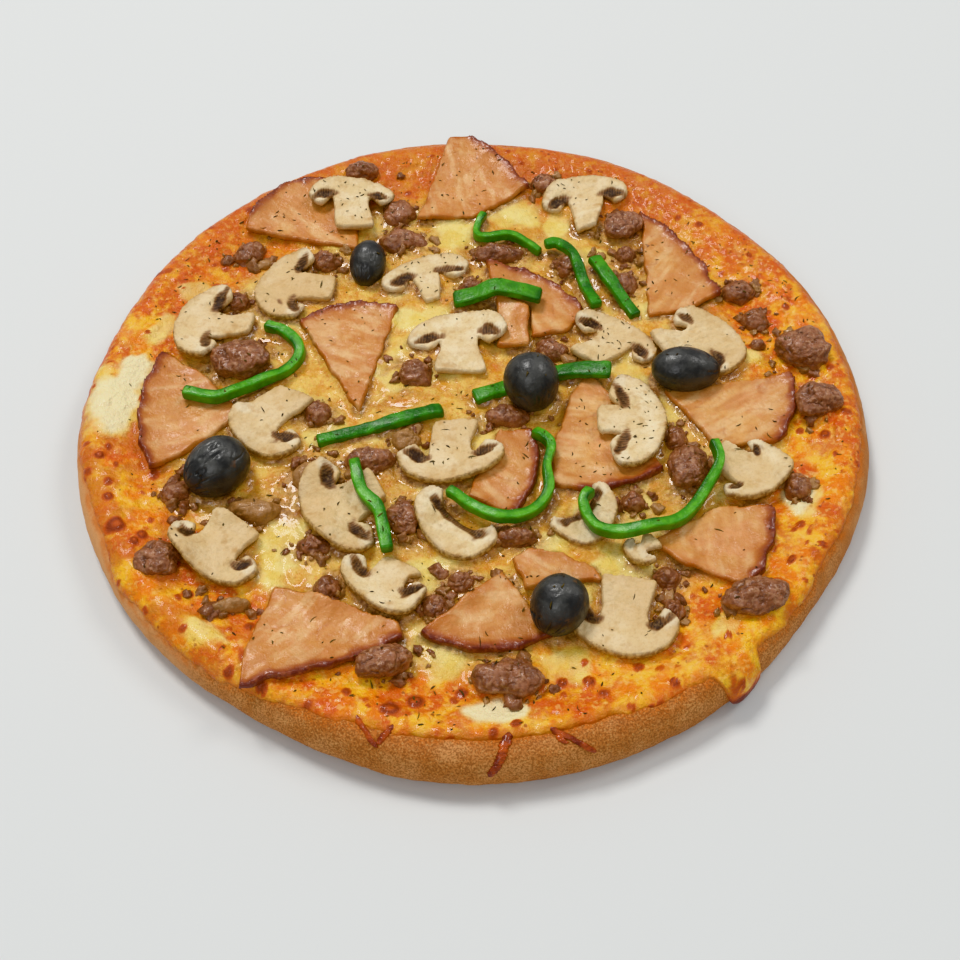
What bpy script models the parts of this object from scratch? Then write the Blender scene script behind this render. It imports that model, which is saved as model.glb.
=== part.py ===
"""Pan pizza with ham, mushroom, black olive, green pepper and crumbled meat.

The origin is the middle of the flat underside, +Z is up and the side nearest
the viewer is -Y. Design values are in millimetres and degrees, and MM turns
them into metres where a mesh or a place is written.
"""

import math
from collections import namedtuple

import bmesh
import bpy
import numpy as np
from mathutils import Euler, Vector, noise
from mathutils.bvhtree import BVHTree
from mathutils.geometry import delaunay_2d_cdt

MM = 0.001
GAP = 0.3           # clear space between the crust and the cheese
REST_GAP = 0.45     # clear space under a topping at its closest point

# Crust and cheese
RADIUS = 151.6
# Waves of the outline: count round the pizza, height, phase
OUTLINE_WAVES = ((1, 1.4, -89.0), (2, 2.0, 160.0), (4, 1.2, -31.0), (5, 0.7, 54.0), (9, 0.5, 150.0))
AZIMUTH_STEP = 6.0
# Crust surface from the flat floor's edge over the rim to the foot: inset from the outline, height
CRUST_PROFILE = ((30.0, 9.0), (23.0, 9.4), (17.0, 12.0), (12.5, 15.0), (9.0, 16.4), (6.2, 16.3),
                 (3.4, 14.8), (1.2, 11.8), (0.1, 8.0), (0.3, 4.4), (1.8, 1.5), (4.5, 0.0))
RIM_START = 3       # profile point from which the cheese thins out towards its edge
CHEESE_TOPS = (13.3, 14.9, 16.6, 17.7)  # cheese height over the profile points up to RIM_START
CHEESE_ROWS = 4     # rows between the rim's start and the edge of the cheese
CRUST_ROWS = 5      # rows between the edge of the cheese and the foot
BED_HEIGHT = 12.9
BED_WAVE = 0.7
BED_RINGS = (0.84, 0.66, 0.46, 0.24)  # shares of the floor's radius
FRONT_REACH = 3.8   # how far the cheese comes over the rim at the front, along the profile
BACK_REACH = 7.4    # the same at the back
EDGE_WAVE = 1.3
EDGE_THICKNESS = 0.8
# The tongue of cheese that ran down the side: direction, half width in degrees, thickness, lengths
# along the crust's profile from the rim's start to where it starts and ends
DRIP_AZIMUTH = -53.0
DRIP_HALF_WIDTH = 2.9
DRIP_THICKNESS = 1.8
DRIP_START = 4.0
DRIP_END = 23.8
DRIP_GAP = 0.45
DRIP_TAPER = 0.35   # share of its width that the tongue loses towards its end

# Toppings that lie flat
HAM_THICKNESS = 2.4
MUSHROOM_THICKNESS = 3.3
INNER_PITCH = 7.5   # spacing of the points inside a slice
INNER_CLEAR = 3.0   # how far these stay from its edge
CUT_PITCH = 14.0    # spacing of the points along a straight cut of the ham
RIND_PITCH = 7.0    # the same along its rind
DRAPE_STEPS = 45    # how far a slice carries the height of what lies under it
CELL = 1.0          # spacing of the grid of heights
HALF_CELLS = 165

Ham = namedtuple("Ham", "corners rind bulge ruffle")
HAMS = (
    Ham(((-93, 103), (-95, 94), (-47, 84), (-47, 119)), 3, 13.0, 0.8),
    Ham(((-22, 100), (3, 102), (27, 118), (3, 149), (-8, 149)), 2, 2.5, 0.5),
    Ham(((72, 41), (86, 43), (102, 50), (74, 101)), 2, 6.0, 1.3),
    Ham(((-121, 26), (-119, -32), (-110, -27), (-91, -10), (-90, -2), (-104, 15)), 0, 7.0, 1.2),
    Ham(((-43, -7), (-29, 49), (-69, 43)), 1, 6.0, 0.6),
    Ham(((7, 73), (9.5, 58), (24.5, 47), (24, 30), (38, 31.5), (42, 37), (46, 46)), 6, 6.0, 0.6),
    Ham(((11, 53), (10.5, 25), (23, 24), (23.4, 45)), 3, 0.0, 0.3),
    Ham(((74, 1), (91, -28), (115, -25), (124, 8), (100, 4)), 2, 3.5, 0.9),
    Ham(((45, 13), (37, -3), (30, -25), (28, -42), (40, -46), (70, -37), (54, 0)), 4, 3.0, 0.4),
    Ham(((10, -17), (3, -34), (-3, -48), (15, -56), (23, -17)), 3, 5.0, 0.5),
    Ham(((61, -69), (70, -78), (92, -89), (97, -86), (107, -55), (88, -54)), 3, 3.0, 1.4),
    Ham(((-69, -84), (-76, -109), (-77, -125), (-24, -106), (-26, -99), (-50, -90)), 2, 2.5, 1.0),
    Ham(((10, -79), (-19, -104), (26, -106)), 1, 6.5, 0.7),
    Ham(((13, -75), (17, -89), (30, -84), (44, -85), (42, -79), (30, -72), (19, -71)), 4, 0.0, 0.3),
)

# A mushroom slice stands on its stem in its own frame: place of the middle of the line between the
# cap's widest points, direction of the cap's top, its lengths, the half width and the middle of the
# stem under the cap, and the gap from the stem to the cap's curled rims
Mushroom = namedtuple("Mushroom", "x y turn width dome lean stem shift end neck side gap")
MUSHROOMS = (
    Mushroom(-50, 111, 91, 37, 11.5, 0.8, 17.5, 1.5, 16.5, 7.5, 0.0, 3.0),
    Mushroom(-70, 62, 174, 38, 17.5, -4.0, 14.5, 0.5, 14, 7.0, 0.0, 3.5),
    Mushroom(-102, 39, 171, 39, 16.0, -1.0, 14.5, 3.5, 11, 6.0, 0.5, 4.0),
    Mushroom(-18, 66, 107, 38, 11.0, 5.0, 14.0, -1.0, 7, 5.0, 0.0, 4.0),
    Mushroom(51, 110, 98, 38, 13.0, -2.0, 19.0, -3.0, 9, 7.0, 0.0, 3.5),
    Mushroom(-5, 30, 92, 40, 14.0, 2.0, 18.0, 0.5, 20, 7.5, 0.5, 1.8),
    Mushroom(57, 28, 54, 37, 10.5, 0.0, 16.0, -4.0, 14, 7.0, 0.0, 2.5),
    Mushroom(91, 25, 25, 36, 15.5, 4.0, 17.0, -6.0, 13, 8.0, -1.0, 1.8),
    Mushroom(-77, -13, -126, 32, 13.0, -2.0, 19.0, 1.0, 18, 8.5, 4.5, 3.0),
    Mushroom(56, -15.5, -4, 46, 17.0, 0.0, 9.0, 0.5, 14, 6.5, 0.5, 2.0),
    Mushroom(-8, -29, -88, 40, 12.5, 1.5, 16.5, -2.5, 17, 7.5, 0.0, 3.5),
    Mushroom(-46, -51, -153, 42, 15.5, 0.5, 15.0, 3.5, 15, 8.5, 0.5, 2.0),
    Mushroom(-5, -57, -133, 35, 15.5, -3.0, 0.0, 0.0, 0, 0.0, 0.0, 0.0),
    Mushroom(-31, -83, -119, 33, 12.0, -5.0, 9.5, -2.0, 16, 6.5, -0.5, 2.5),
    Mushroom(-91, -69, -124, 37, 11.5, -3.5, 14.5, 0.0, 19, 8.5, 0.0, 2.2),
    Mushroom(38, -54, -50, 27, 15.0, 3.0, 0.0, 0.0, 0, 0.0, 0.0, 0.0),
    Mushroom(99, -39, -30, 29, 16.0, -5.0, 12.0, -2.0, 13, 7.0, -0.5, 2.5),
    Mushroom(50, -101, -101, 37, 14.5, -2.0, 16.5, 0.0, 19, 8.0, 0.0, 3.0),
    Mushroom(58, -74, -140, 14, 5.0, 0.0, 7.0, 0.0, 9, 2.0, 0.0, 2.2),
)
LIP = 4.5           # how far the cap's rim hangs below its widest line
TUCK = 0.2          # share of the width that the rim curls in where there is no stem
GILL = 1.0          # top of a wide slot between stem and rim, over the widest line
RIM_WIDTH = 2.5     # the least width of a curled rim

# A pepper strip follows its middle line: width, height and the points of the line
Pepper = namedtuple("Pepper", "width height line")
PEPPERS = (
    Pepper(3.2, 4.0, ((7, 102), (4, 95), (4, 89), (9, 86), (18, 87), (24, 84), (30, 79))),
    Pepper(4.4, 3.5, ((32, 80), (38, 81), (43, 73), (48, 55), (51, 43))),
    Pepper(5.2, 3.5, ((52, 72), (58, 57), (67, 41))),
    Pepper(7.6, 3.6, ((-6.5, 50.5), (4, 51.3), (11, 52.3), (18, 50.8), (29, 48.6))),
    Pepper(4.0, 4.5, ((-82, 40), (-74, 36), (-68, 28), (-68, 21), (-74, 13), (-86, 5), (-96, 0), (-110, 3))),
    Pepper(5.4, 3.8, ((-58, -20), (-36, -14), (-11, -7))),
    Pepper(6.4, 3.4, ((1, 0), (13, 4), (33, 11), (54, 8))),
    Pepper(4.4, 4.5, ((-43, -34), (-40, -47), (-34, -55), (-32, -63), (-30, -73))),
    Pepper(3.8, 4.5, ((23, -20), (29, -27), (27, -37), (27, -48), (20, -57), (9, -60), (-1, -54),
                       (-9, -48))),
    Pepper(3.8, 4.8, ((42, -50), (39, -56), (44, -66), (58, -68), (73, -62), (83, -50), (89, -40),
                       (88, -31))),
)

# An olive is an egg shape: place, diameter, length, direction and rise of its long axis
Olive = namedtuple("Olive", "x y diameter length turn rise")
OLIVES = (
    Olive(-42, 72, 15.0, 20.5, 82, 20),
    Olive(23, 0, 21.0, 23.0, 100, 35),
    Olive(82.5, 7, 17.5, 26.5, 178, 5),
    Olive(-93, -36, 21.0, 25.5, 35, 12),
    Olive(28, -98, 19.5, 21.5, 60, 30),
)
OLIVE_SINK = 3.0    # how deep an olive's lowest point would lie in the cheese

# Chunks of meat: place, width, depth, height over the cheese, direction of the width
Chunk = namedtuple("Chunk", "x y width depth height turn")
MEAT = (
    Chunk(-91, 20, 21, 15, 8.5, 10), Chunk(130, 18, 20, 16, 8.0, -15), Chunk(131, -9, 16, 13, 7.0, 20),
    Chunk(79, -37, 13, 17, 7.5, 0), Chunk(96, -95, 22, 12, 6.5, 10), Chunk(11, -122, 21, 12, 8.0, 5),
    Chunk(-30, -116, 18, 10, 7.0, 15), Chunk(-110, -74, 16, 13, 6.5, -10), Chunk(65, 93, 16, 13, 7.0, 0),
    Chunk(-25, -57, 10, 14, 5.5, 10),
)
CRUMBS = (
    Chunk(-46, 131, 15, 9, 4.5, 0), Chunk(-30, 106, 12, 12, 4.5, 0), Chunk(-92, 83, 14, 11, 4.5, 30),
    Chunk(-60, 77, 13, 9, 4.5, 0), Chunk(-95, 55, 10, 8, 4.0, 0), Chunk(-22, 14, 14, 12, 5.0, 0),
    Chunk(34, 123, 11, 9, 4.0, 0), Chunk(13, 80, 19, 9, 4.5, 0), Chunk(42, 71, 11, 10, 4.5, 0),
    Chunk(1, 59, 10, 9, 4.0, 0), Chunk(33, 25, 12, 9, 4.0, 0), Chunk(110, 54, 13, 10, 4.5, 0),
    Chunk(64, 60, 10, 10, 4.5, 0), Chunk(13, -9, 17, 9, 4.5, 0), Chunk(118, -47, 9, 10, 4.5, 0),
    Chunk(66, -83, 10, 8, 4.0, 0), Chunk(-108, -42, 13, 9, 4.5, 0), Chunk(-38, -29, 16, 9, 4.5, 0),
    Chunk(-5, -83, 10, 8, 4.0, 0), Chunk(-14, -92, 9, 10, 4.0, 0), Chunk(-51, -84, 8, 10, 4.0, 0),
    Chunk(-57, -66, 13, 8, 4.0, 0), Chunk(-79, -51, 20, 9, 4.5, 0), Chunk(-59, -6, 10, 9, 4.0, 0),
    Chunk(-60, -35, 14, 12, 4.0, 30), Chunk(76, -22, 9, 10, 4.5, 0), Chunk(58, -51, 9, 9, 4.0, 0),
    Chunk(15, -66, 12, 6, 3.5, 0), Chunk(-28, 89, 17, 11, 4.5, 0), Chunk(115, 38, 11, 11, 4.0, 0),
    Chunk(-24, -20, 10, 9, 4.0, 0), Chunk(66, 77, 9, 9, 4.5, 0), Chunk(-86, -92, 15, 5, 3.5, 15),
    Chunk(67, -97, 8, 9, 4.0, 0),
)
CRUMB_DEPTH = 0.9   # how far a crumb reaches into the cheese
MEAT_ROUGH = 0.34   # height of the bumps of meat, as a share of its size
MEAT_FULL = 1.15    # the bumps take away some of a chunk, so it starts larger by this

COLOURS = {
    "crust": ((0.55, 0.28, 0.11), 0.75), "cheese": ((0.78, 0.40, 0.08), 0.4),
    "ham": ((0.66, 0.36, 0.21), 0.4),
    "mushroom": ((0.72, 0.58, 0.40), 0.6), "olive": ((0.02, 0.02, 0.024), 0.25),
    "pepper": ((0.03, 0.26, 0.02), 0.3), "meat": ((0.20, 0.09, 0.065), 0.5),
}


def clear_scene():
    """Remove whatever objects the file starts with."""
    for thing in list(bpy.data.objects):
        bpy.data.objects.remove(thing, do_unlink=True)


def material(kind):
    """A plain Principled material in the colour of one kind of ingredient."""
    colour, roughness = COLOURS[kind]
    made = bpy.data.materials.get(kind) or bpy.data.materials.new(kind)
    made.use_nodes = True
    shader = made.node_tree.nodes["Principled BSDF"]
    shader.inputs["Base Color"].default_value = (*colour, 1.0)
    shader.inputs["Roughness"].default_value = roughness
    return made


def new_piece(name, points, faces, collection, kind, place=(0.0, 0.0, 0.0), turn=0.0):
    """An object from points in mm round its own origin, put at its place and turned about Z."""
    mesh = bpy.data.meshes.new(name)
    mesh.from_pydata((np.asarray(points) * MM).tolist(), [], faces)
    mesh.materials.append(material(kind))
    mesh.update()
    piece = bpy.data.objects.new(name, mesh)
    piece.location = Vector(place) * MM
    piece.rotation_euler = Euler((0.0, 0.0, math.radians(turn)))
    collection.objects.link(piece)
    return piece


def wave(x, y, scale, layer):
    """Smooth noise between about -1 and 1 at a point of the plan."""
    return noise.noise(Vector((x / scale, y / scale, layer)))


# Crust and cheese

def azimuths():
    """Directions of the columns of the crust and the cheese."""
    return np.radians(np.arange(-180.0, 180.0, AZIMUTH_STEP))


def outline_radius(angle):
    """Radius of the pizza's outline: a circle with a few low waves."""
    waves = sum(h * np.cos(n * angle + math.radians(p)) for n, h, p in OUTLINE_WAVES)
    return RADIUS + waves


def edge_reach(angle):
    """Distance along the profile from the rim's start to the wavy edge of the cheese."""
    side = 0.5 + 0.5 * np.sin(angle)
    waves = 0.5 * EDGE_WAVE * (np.sin(11 * angle + 1.0) + np.sin(17 * angle))
    return FRONT_REACH + (BACK_REACH - FRONT_REACH) * side + waves


def profile_lengths():
    """Length along the crust's profile at each of its points."""
    steps = np.diff(np.array(CRUST_PROFILE), axis=0)
    return np.concatenate([[0.0], np.cumsum(np.hypot(steps[:, 0], steps[:, 1]))])


def profile_at(length):
    """Inset, height and outward normal (radial, vertical) of the crust's profile at a length."""
    known = profile_lengths()
    inset, height = np.array(CRUST_PROFILE).T

    def point(at):
        return -np.interp(at, known, inset), np.interp(at, known, height)

    radial, level = point(length)
    ahead, behind = point(np.minimum(length + 1.0, known[-1])), point(np.maximum(length - 1.0, 0.0))
    along, up = ahead[0] - behind[0], ahead[1] - behind[1]
    size = np.hypot(along, up)
    return -radial, level, (-up / size, along / size)


def ring(angle, inset, height, normal=(0.0, 0.0), offset=0.0):
    """Points of one ring round the pizza, moved off the profile along its normal."""
    radius = outline_radius(angle) - inset + normal[0] * offset
    level = height + normal[1] * offset
    return np.stack([radius * np.cos(angle), radius * np.sin(angle), level + 0.0 * angle], 1)


def rim_rings(angle, first, last):
    """Rings from the rim's start to the edge of the cheese, offset from the crust by first and then last."""
    start = profile_lengths()[RIM_START]
    rings = []
    for row in range(CHEESE_ROWS + 1):
        share = row / CHEESE_ROWS
        inset, height, normal = profile_at(start + edge_reach(angle) * share)
        rings.append(ring(angle, inset, height, normal, first + (last - first) * share))
    return rings


def crust_rings(angle):
    """Rings of the crust's whole outer surface, from the foot up over the rim to the floor's edge."""
    known = profile_lengths()
    edge = known[RIM_START] + edge_reach(angle)
    rings = []
    for row in range(CRUST_ROWS):
        inset, height, _ = profile_at(known[-1] + (edge - known[-1]) * row / CRUST_ROWS)
        rings.append(ring(angle, inset, height))
    rings += rim_rings(angle, 0.0, 0.0)[::-1]
    for inset, height in CRUST_PROFILE[:RIM_START][::-1]:
        rings.append(ring(angle, inset, height))
    return rings


def cheese_rings(angle):
    """Rings of the cheese: its underside from the middle outwards, then its top from the edge inwards."""
    rings = []
    for length in profile_lengths()[:RIM_START]:
        inset, height, normal = profile_at(length)
        rings.append(ring(angle, inset, height, normal, GAP))
    rings += rim_rings(angle, GAP, GAP)
    full = CHEESE_TOPS[RIM_START] - CRUST_PROFILE[RIM_START][1]
    rings += rim_rings(angle, full, EDGE_THICKNESS + GAP)[::-1]
    for (inset, _), height in list(zip(CRUST_PROFILE, CHEESE_TOPS))[:RIM_START][::-1]:
        rings.append(ring(angle, inset, height))
    floor = outline_radius(angle) - CRUST_PROFILE[0][0]
    for share in BED_RINGS:
        flat = np.stack([floor * share * np.cos(angle), floor * share * np.sin(angle)], 1)
        level = [BED_HEIGHT + BED_WAVE * wave(x, y, 20.0, 3.0) for x, y in flat]
        rings.append(np.column_stack([flat, level]))
    return rings


def loft(name, rings, lowest, highest, outward, collection, kind):
    """Closed piece from rings between a point below and a point above their middle.

    outward says whether the rings' shared diagonal leans with the direction of
    travel, so that crust and cheese split their facing quads alike.
    """
    count = len(rings[0])
    points = [(0.0, 0.0, lowest), *np.concatenate(rings), (0.0, 0.0, highest)]
    last = len(points) - 1
    faces = []
    for column in range(count):
        after = (column + 1) % count
        faces.append((0, 1 + after, 1 + column))
        faces.append((last, last - count + column, last - count + after))
        for row in range(len(rings) - 1):
            low, high = 1 + row * count, 1 + (row + 1) * count
            if outward:
                faces.append((low + column, low + after, high + column))
                faces.append((low + after, high + after, high + column))
            else:
                faces.append((low + column, low + after, high + after))
                faces.append((low + column, high + after, high + column))
    piece = new_piece(name, points, faces, collection, kind)
    piece.data.shade_smooth()
    piece.data.set_sharp_from_angle(angle=math.radians(40))
    return piece


def lump_mesh(chunk, base, layer):
    """Rough ball of a chunk's size round the origin, as a bmesh in mm, with its middle at height 0."""
    ball = bmesh.new()
    bmesh.ops.create_icosphere(ball, subdivisions=2, radius=1.0)
    turn = Euler((0.0, 0.0, math.radians(chunk.turn))).to_matrix()
    for vertex in ball.verts:
        away = vertex.co.normalized()
        rough = 1.0 + MEAT_ROUGH * noise.noise(away * 1.6 + Vector((layer, 0.0, 0.0)))
        sized = Vector((away.x * chunk.width, away.y * chunk.depth, away.z * chunk.height)) * MEAT_FULL / 2
        vertex.co = turn @ (sized * rough) + Vector((0.0, 0.0, base))
    return ball


def make_drip(batch):
    """Tongue of cheese down the crust's side, narrower towards its end, as a thickened patch."""
    known = profile_lengths()
    first, last = known[RIM_START] + DRIP_START, known[RIM_START] + DRIP_END
    lengths = [first, *known[(known > first + 1.0) & (known < last - 1.0)], last]
    across = np.array((-1.0, -0.5, 0.0, 0.5, 1.0))
    points = []
    for length in lengths:
        narrow = 1.0 - DRIP_TAPER * (length - lengths[0]) / (lengths[-1] - lengths[0])
        angle = np.radians(DRIP_AZIMUTH + DRIP_HALF_WIDTH * narrow * across)
        inset, height, normal = profile_at(np.full(len(angle), length))
        points.extend(ring(angle, inset, height, normal, DRIP_GAP))
    width = len(across)
    faces = [(row * width + column, (row + 1) * width + column, (row + 1) * width + column + 1,
              row * width + column + 1)
             for row in range(len(lengths) - 1) for column in range(width - 1)]
    drip = new_piece("drip", points, faces, batch, "cheese")
    solid = drip.modifiers.new("thickness", "SOLIDIFY")
    solid.thickness = DRIP_THICKNESS * MM
    solid.offset = 1.0


def add_small_pieces(cheese):
    """Fuse the small chunks of meat and the drip to the cheese with one Boolean union."""
    batch = bpy.data.collections.new("small_pieces")
    bpy.context.scene.collection.children.link(batch)
    make_drip(batch)
    for number, chunk in enumerate(CRUMBS):
        floor = cheese_height(chunk.x, chunk.y)
        tall = chunk._replace(height=2.0 * chunk.height + 3.0)
        ball = lump_mesh(tall, floor - 1.0, 5.3 * number)
        for vertex in ball.verts:
            level = cheese_height(chunk.x + vertex.co.x, chunk.y + vertex.co.y)
            vertex.co.z = max(vertex.co.z, level - CRUMB_DEPTH)
        points = [vertex.co + Vector((chunk.x, chunk.y, 0.0)) for vertex in ball.verts]
        faces = [[vertex.index for vertex in face.verts] for face in ball.faces]
        ball.free()
        new_piece(f"crumb_{number:02d}", points, faces, batch, "meat")
    union = cheese.modifiers.new("small_pieces", "BOOLEAN")
    union.operation = "UNION"
    union.operand_type = "COLLECTION"
    union.collection = batch
    union.solver = "EXACT"
    apply_modifiers(cheese)
    for crumb in list(batch.objects):
        bpy.data.objects.remove(crumb, do_unlink=True)
    bpy.data.collections.remove(batch)


def apply_modifiers(piece):
    """Replace a piece's mesh by the one that its modifiers make."""
    depsgraph = bpy.context.evaluated_depsgraph_get()
    made = bpy.data.meshes.new_from_object(piece.evaluated_get(depsgraph))
    piece.modifiers.clear()
    piece.data = made


# What lies on what: a grid of heights over the plan, in mm

ground = np.full((2 * HALF_CELLS + 1, 2 * HALF_CELLS + 1), 0.0)


def window(low, high, margin=4):
    """Slices of the grid that hold a box of the plan, and the plan's coordinates there."""
    first = np.floor(np.array(low) / CELL).astype(int) + HALF_CELLS - margin
    last = np.ceil(np.array(high) / CELL).astype(int) + HALF_CELLS + margin
    first = np.clip(first, 0, 2 * HALF_CELLS)
    last = np.clip(last, 0, 2 * HALF_CELLS)
    across = (np.arange(first[0], last[0] + 1) - HALF_CELLS) * CELL
    along = (np.arange(first[1], last[1] + 1) - HALF_CELLS) * CELL
    x, y = np.meshgrid(across, along)
    return (slice(first[1], last[1] + 1), slice(first[0], last[0] + 1)), x, y


def tree_of(piece):
    """Search tree of a piece's final shape in world space."""
    bpy.context.view_layer.update()
    shape = bmesh.new()
    shape.from_object(piece, bpy.context.evaluated_depsgraph_get())
    shape.transform(piece.matrix_world)
    tree = BVHTree.FromBMesh(shape)
    low = [min(vertex.co[axis] for vertex in shape.verts) / MM for axis in (0, 1)]
    high = [max(vertex.co[axis] for vertex in shape.verts) / MM for axis in (0, 1)]
    shape.free()
    return tree, low, high


def scan(tree, x, y, upward):
    """Height in mm where a vertical ray through each point first meets the piece, NaN where it misses."""
    start, heading = (-0.1, Vector((0, 0, 1))) if upward else (0.2, Vector((0, 0, -1)))
    found = np.full(x.shape, np.nan)
    for spot in np.ndindex(x.shape):
        hit = tree.ray_cast(Vector((x[spot] * MM, y[spot] * MM, start)), heading)[0]
        if hit is not None:
            found[spot] = hit.z / MM
    return found


def widened(levels, cells):
    """Highest level within a number of cells, in a round neighbourhood."""
    padded = np.pad(levels, cells, mode="edge")
    rows, columns = levels.shape
    best = levels.copy()
    for down in range(-cells, cells + 1):
        for right in range(-cells, cells + 1):
            if down * down + right * right <= cells * cells + 1:
                best = np.maximum(best, padded[cells + down:cells + down + rows,
                                               cells + right:cells + right + columns])
    return best


def averaged(levels, weight):
    """Mean of each cell and its eight neighbours, counting only cells with weight."""
    rows, columns = levels.shape
    total, amount = np.zeros_like(levels), np.zeros_like(levels)
    filled, near = np.pad(levels * weight, 1), np.pad(weight, 1)
    for down in range(3):
        for right in range(3):
            total += filled[down:down + rows, right:right + columns]
            amount += near[down:down + rows, right:right + columns]
    return total / np.maximum(amount, 1e-9)


def inside_outline(x, y, outline):
    """Whether each point lies inside a closed outline, by counting crossings."""
    inside = np.zeros(x.shape, bool)
    for (ax, ay), (bx, by) in zip(outline, np.roll(outline, -1, axis=0)):
        if ay != by:
            crossing = (ay > y) != (by > y)
            inside ^= crossing & (x < (bx - ax) * (y - ay) / (by - ay) + ax)
    return inside


def sample(levels, x, y, at_x, at_y):
    """Levels of a window read between its cells."""
    column = np.clip((at_x - x[0, 0]) / CELL, 0, levels.shape[1] - 1.001)
    row = np.clip((at_y - y[0, 0]) / CELL, 0, levels.shape[0] - 1.001)
    c, r = column.astype(int), row.astype(int)
    u, v = column - c, row - r
    near = levels[r, c] * (1 - u) + levels[r, c + 1] * u
    far = levels[r + 1, c] * (1 - u) + levels[r + 1, c + 1] * u
    return near * (1 - v) + far * v


def cheese_height(x, y):
    """Height of the cheese under a place of the plan."""
    return ground[int(round(y / CELL)) + HALF_CELLS, int(round(x / CELL)) + HALF_CELLS]


def add_to_ground(piece):
    """Raise the grid of heights to a piece's top."""
    tree, low, high = tree_of(piece)
    part, x, y = window(low, high, 1)
    ground[part] = np.fmax(ground[part], scan(tree, x, y, False))


def settle(piece):
    """Move a piece up or down until its closest point rests just clear of what lies below it."""
    tree, low, high = tree_of(piece)
    part, x, y = window(low, high, 1)
    underside = scan(tree, x, y, True)
    clearance = underside - widened(ground, 1)[part]
    piece.location.z += (REST_GAP - np.nanmin(clearance)) * MM
    add_to_ground(piece)


# Flat toppings

def turned(points, degrees):
    """Points of the plan turned about the origin."""
    angle = math.radians(degrees)
    turn = np.array(((math.cos(angle), math.sin(angle)), (-math.sin(angle), math.cos(angle))))
    return np.asarray(points, float) @ turn


def drape(outline):
    """Stiff surface over what lies inside an outline of the plan, with its window's coordinates.

    Heights are averaged with their neighbours again and again, and never let
    sink below the highest thing near them.
    """
    part, x, y = window(outline.min(0), outline.max(0))
    inside = inside_outline(x, y, outline).astype(float)
    near = widened(inside, 2)
    below = widened(ground, 2)[part]
    level = below.copy()
    for _ in range(DRAPE_STEPS):
        level = np.maximum(below, averaged(level, near))
    return level, x, y


def slice_piece(name, outline, centre, turn, thickness, collection, kind):
    """Slice of even thickness with a closed outline in its own frame, laid on what is below it."""
    edge = np.asarray(outline, float)
    step = INNER_PITCH
    low, high = edge.min(0), edge.max(0)
    rows = np.arange(low[1], high[1], step * math.sqrt(3) / 2)
    grid = [(column + (index % 2) * step / 2, row)
            for index, row in enumerate(rows) for column in np.arange(low[0], high[0], step)]
    grid = np.array(grid)
    ends = np.roll(edge, -1, axis=0)
    along = ends - edge
    share = ((grid[:, None] - edge) * along).sum(2) / (along ** 2).sum(1)
    nearest = edge + along * np.clip(share, 0, 1)[:, :, None]
    away = np.linalg.norm(grid[:, None] - nearest, axis=2).min(1)
    keep = inside_outline(grid[:, 0], grid[:, 1], edge) & (away > INNER_CLEAR)
    points = np.concatenate([edge, grid[keep]])
    border = [(i, (i + 1) % len(edge)) for i in range(len(edge))]
    flat, _, faces, *_ = delaunay_2d_cdt([Vector(p) for p in points], border, [], 1, 1e-5)
    flat = np.array(flat)
    world = turned(flat, turn) + centre
    level, x, y = drape(turned(edge, turn) + centre)
    height = sample(level, x, y, world[:, 0], world[:, 1])
    base = height.min()
    shape = np.column_stack([flat, height - base])
    piece = new_piece(name, shape, faces, collection, kind, (*centre, base), turn)
    solid = piece.modifiers.new("thickness", "SOLIDIFY")
    solid.thickness = thickness * MM
    solid.offset = 1.0
    settle(piece)
    return piece


def ham_outline(ham):
    """Corners joined by nearly straight cuts, with the rind as a ruffled arc between two of them."""
    corners = np.array(ham.corners, float)
    points = []
    for index, start in enumerate(corners):
        end = corners[(index + 1) % len(corners)]
        along = end - start
        length = math.hypot(*along)
        outward = np.array((along[1], -along[0])) / length
        rind = index == ham.rind
        count = max(1, round(length / (RIND_PITCH if rind else CUT_PITCH)))
        share = np.arange(count) / count
        bow = 4.0 * share * (1.0 - share) * (ham.bulge if rind else 0.0)
        wavy = np.sin(share * math.pi * count) * (ham.ruffle if rind else 0.0)
        points.append(start + along * share[:, None] + outward * (bow + wavy)[:, None])
    return np.concatenate(points)


def mushroom_side(slice_of, sign):
    """Right side of a section from the stem's end to the rim, or for a sign of -1 the left side mirrored."""
    half, lip = slice_of.width / 2, min(LIP, slice_of.width * 0.13)
    flank, shift = slice_of.neck + sign * slice_of.side, sign * slice_of.shift
    tip = min(flank + slice_of.gap, half - RIM_WIDTH)
    stem = []
    if slice_of.stem:
        stem = [(shift + slice_of.end * 0.3, -slice_of.stem),
                (shift + slice_of.end / 2, -slice_of.stem + 1.6), (flank, -lip)]
        if tip - flank < 1.0:
            return np.array([*stem, (half - 0.5, -lip * 0.4)])
        stem.append((flank + slice_of.gap * 0.3, min(GILL, slice_of.gap * 0.5 - 1.5)))
    else:
        stem, tip = [(half * 0.3, GILL)], half - slice_of.width * TUCK
    return np.array([*stem, (tip, -lip * 0.55), (tip + (half - tip) * 0.25, -lip),
                     (tip + (half - tip) * 0.75, -lip * 0.65)])


def mushroom_outline(slice_of):
    """Section of a cap and its stem, counter-clockwise from the right of the stem's end.

    The cap is half an ellipse over its widest line, below which both rims curl
    in. A slot lies between each rim and the stem.
    """
    angle = np.radians(np.arange(0, 181, 20.0))
    across = slice_of.width / 2 * np.cos(angle) + slice_of.lean * np.sin(angle) ** 2
    dome = np.stack([across, slice_of.dome * np.sin(angle) ** 0.9], 1)
    left = mushroom_side(slice_of, -1.0) * (-1.0, 1.0)
    return np.concatenate([mushroom_side(slice_of, 1.0), dome, left[::-1]])


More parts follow.
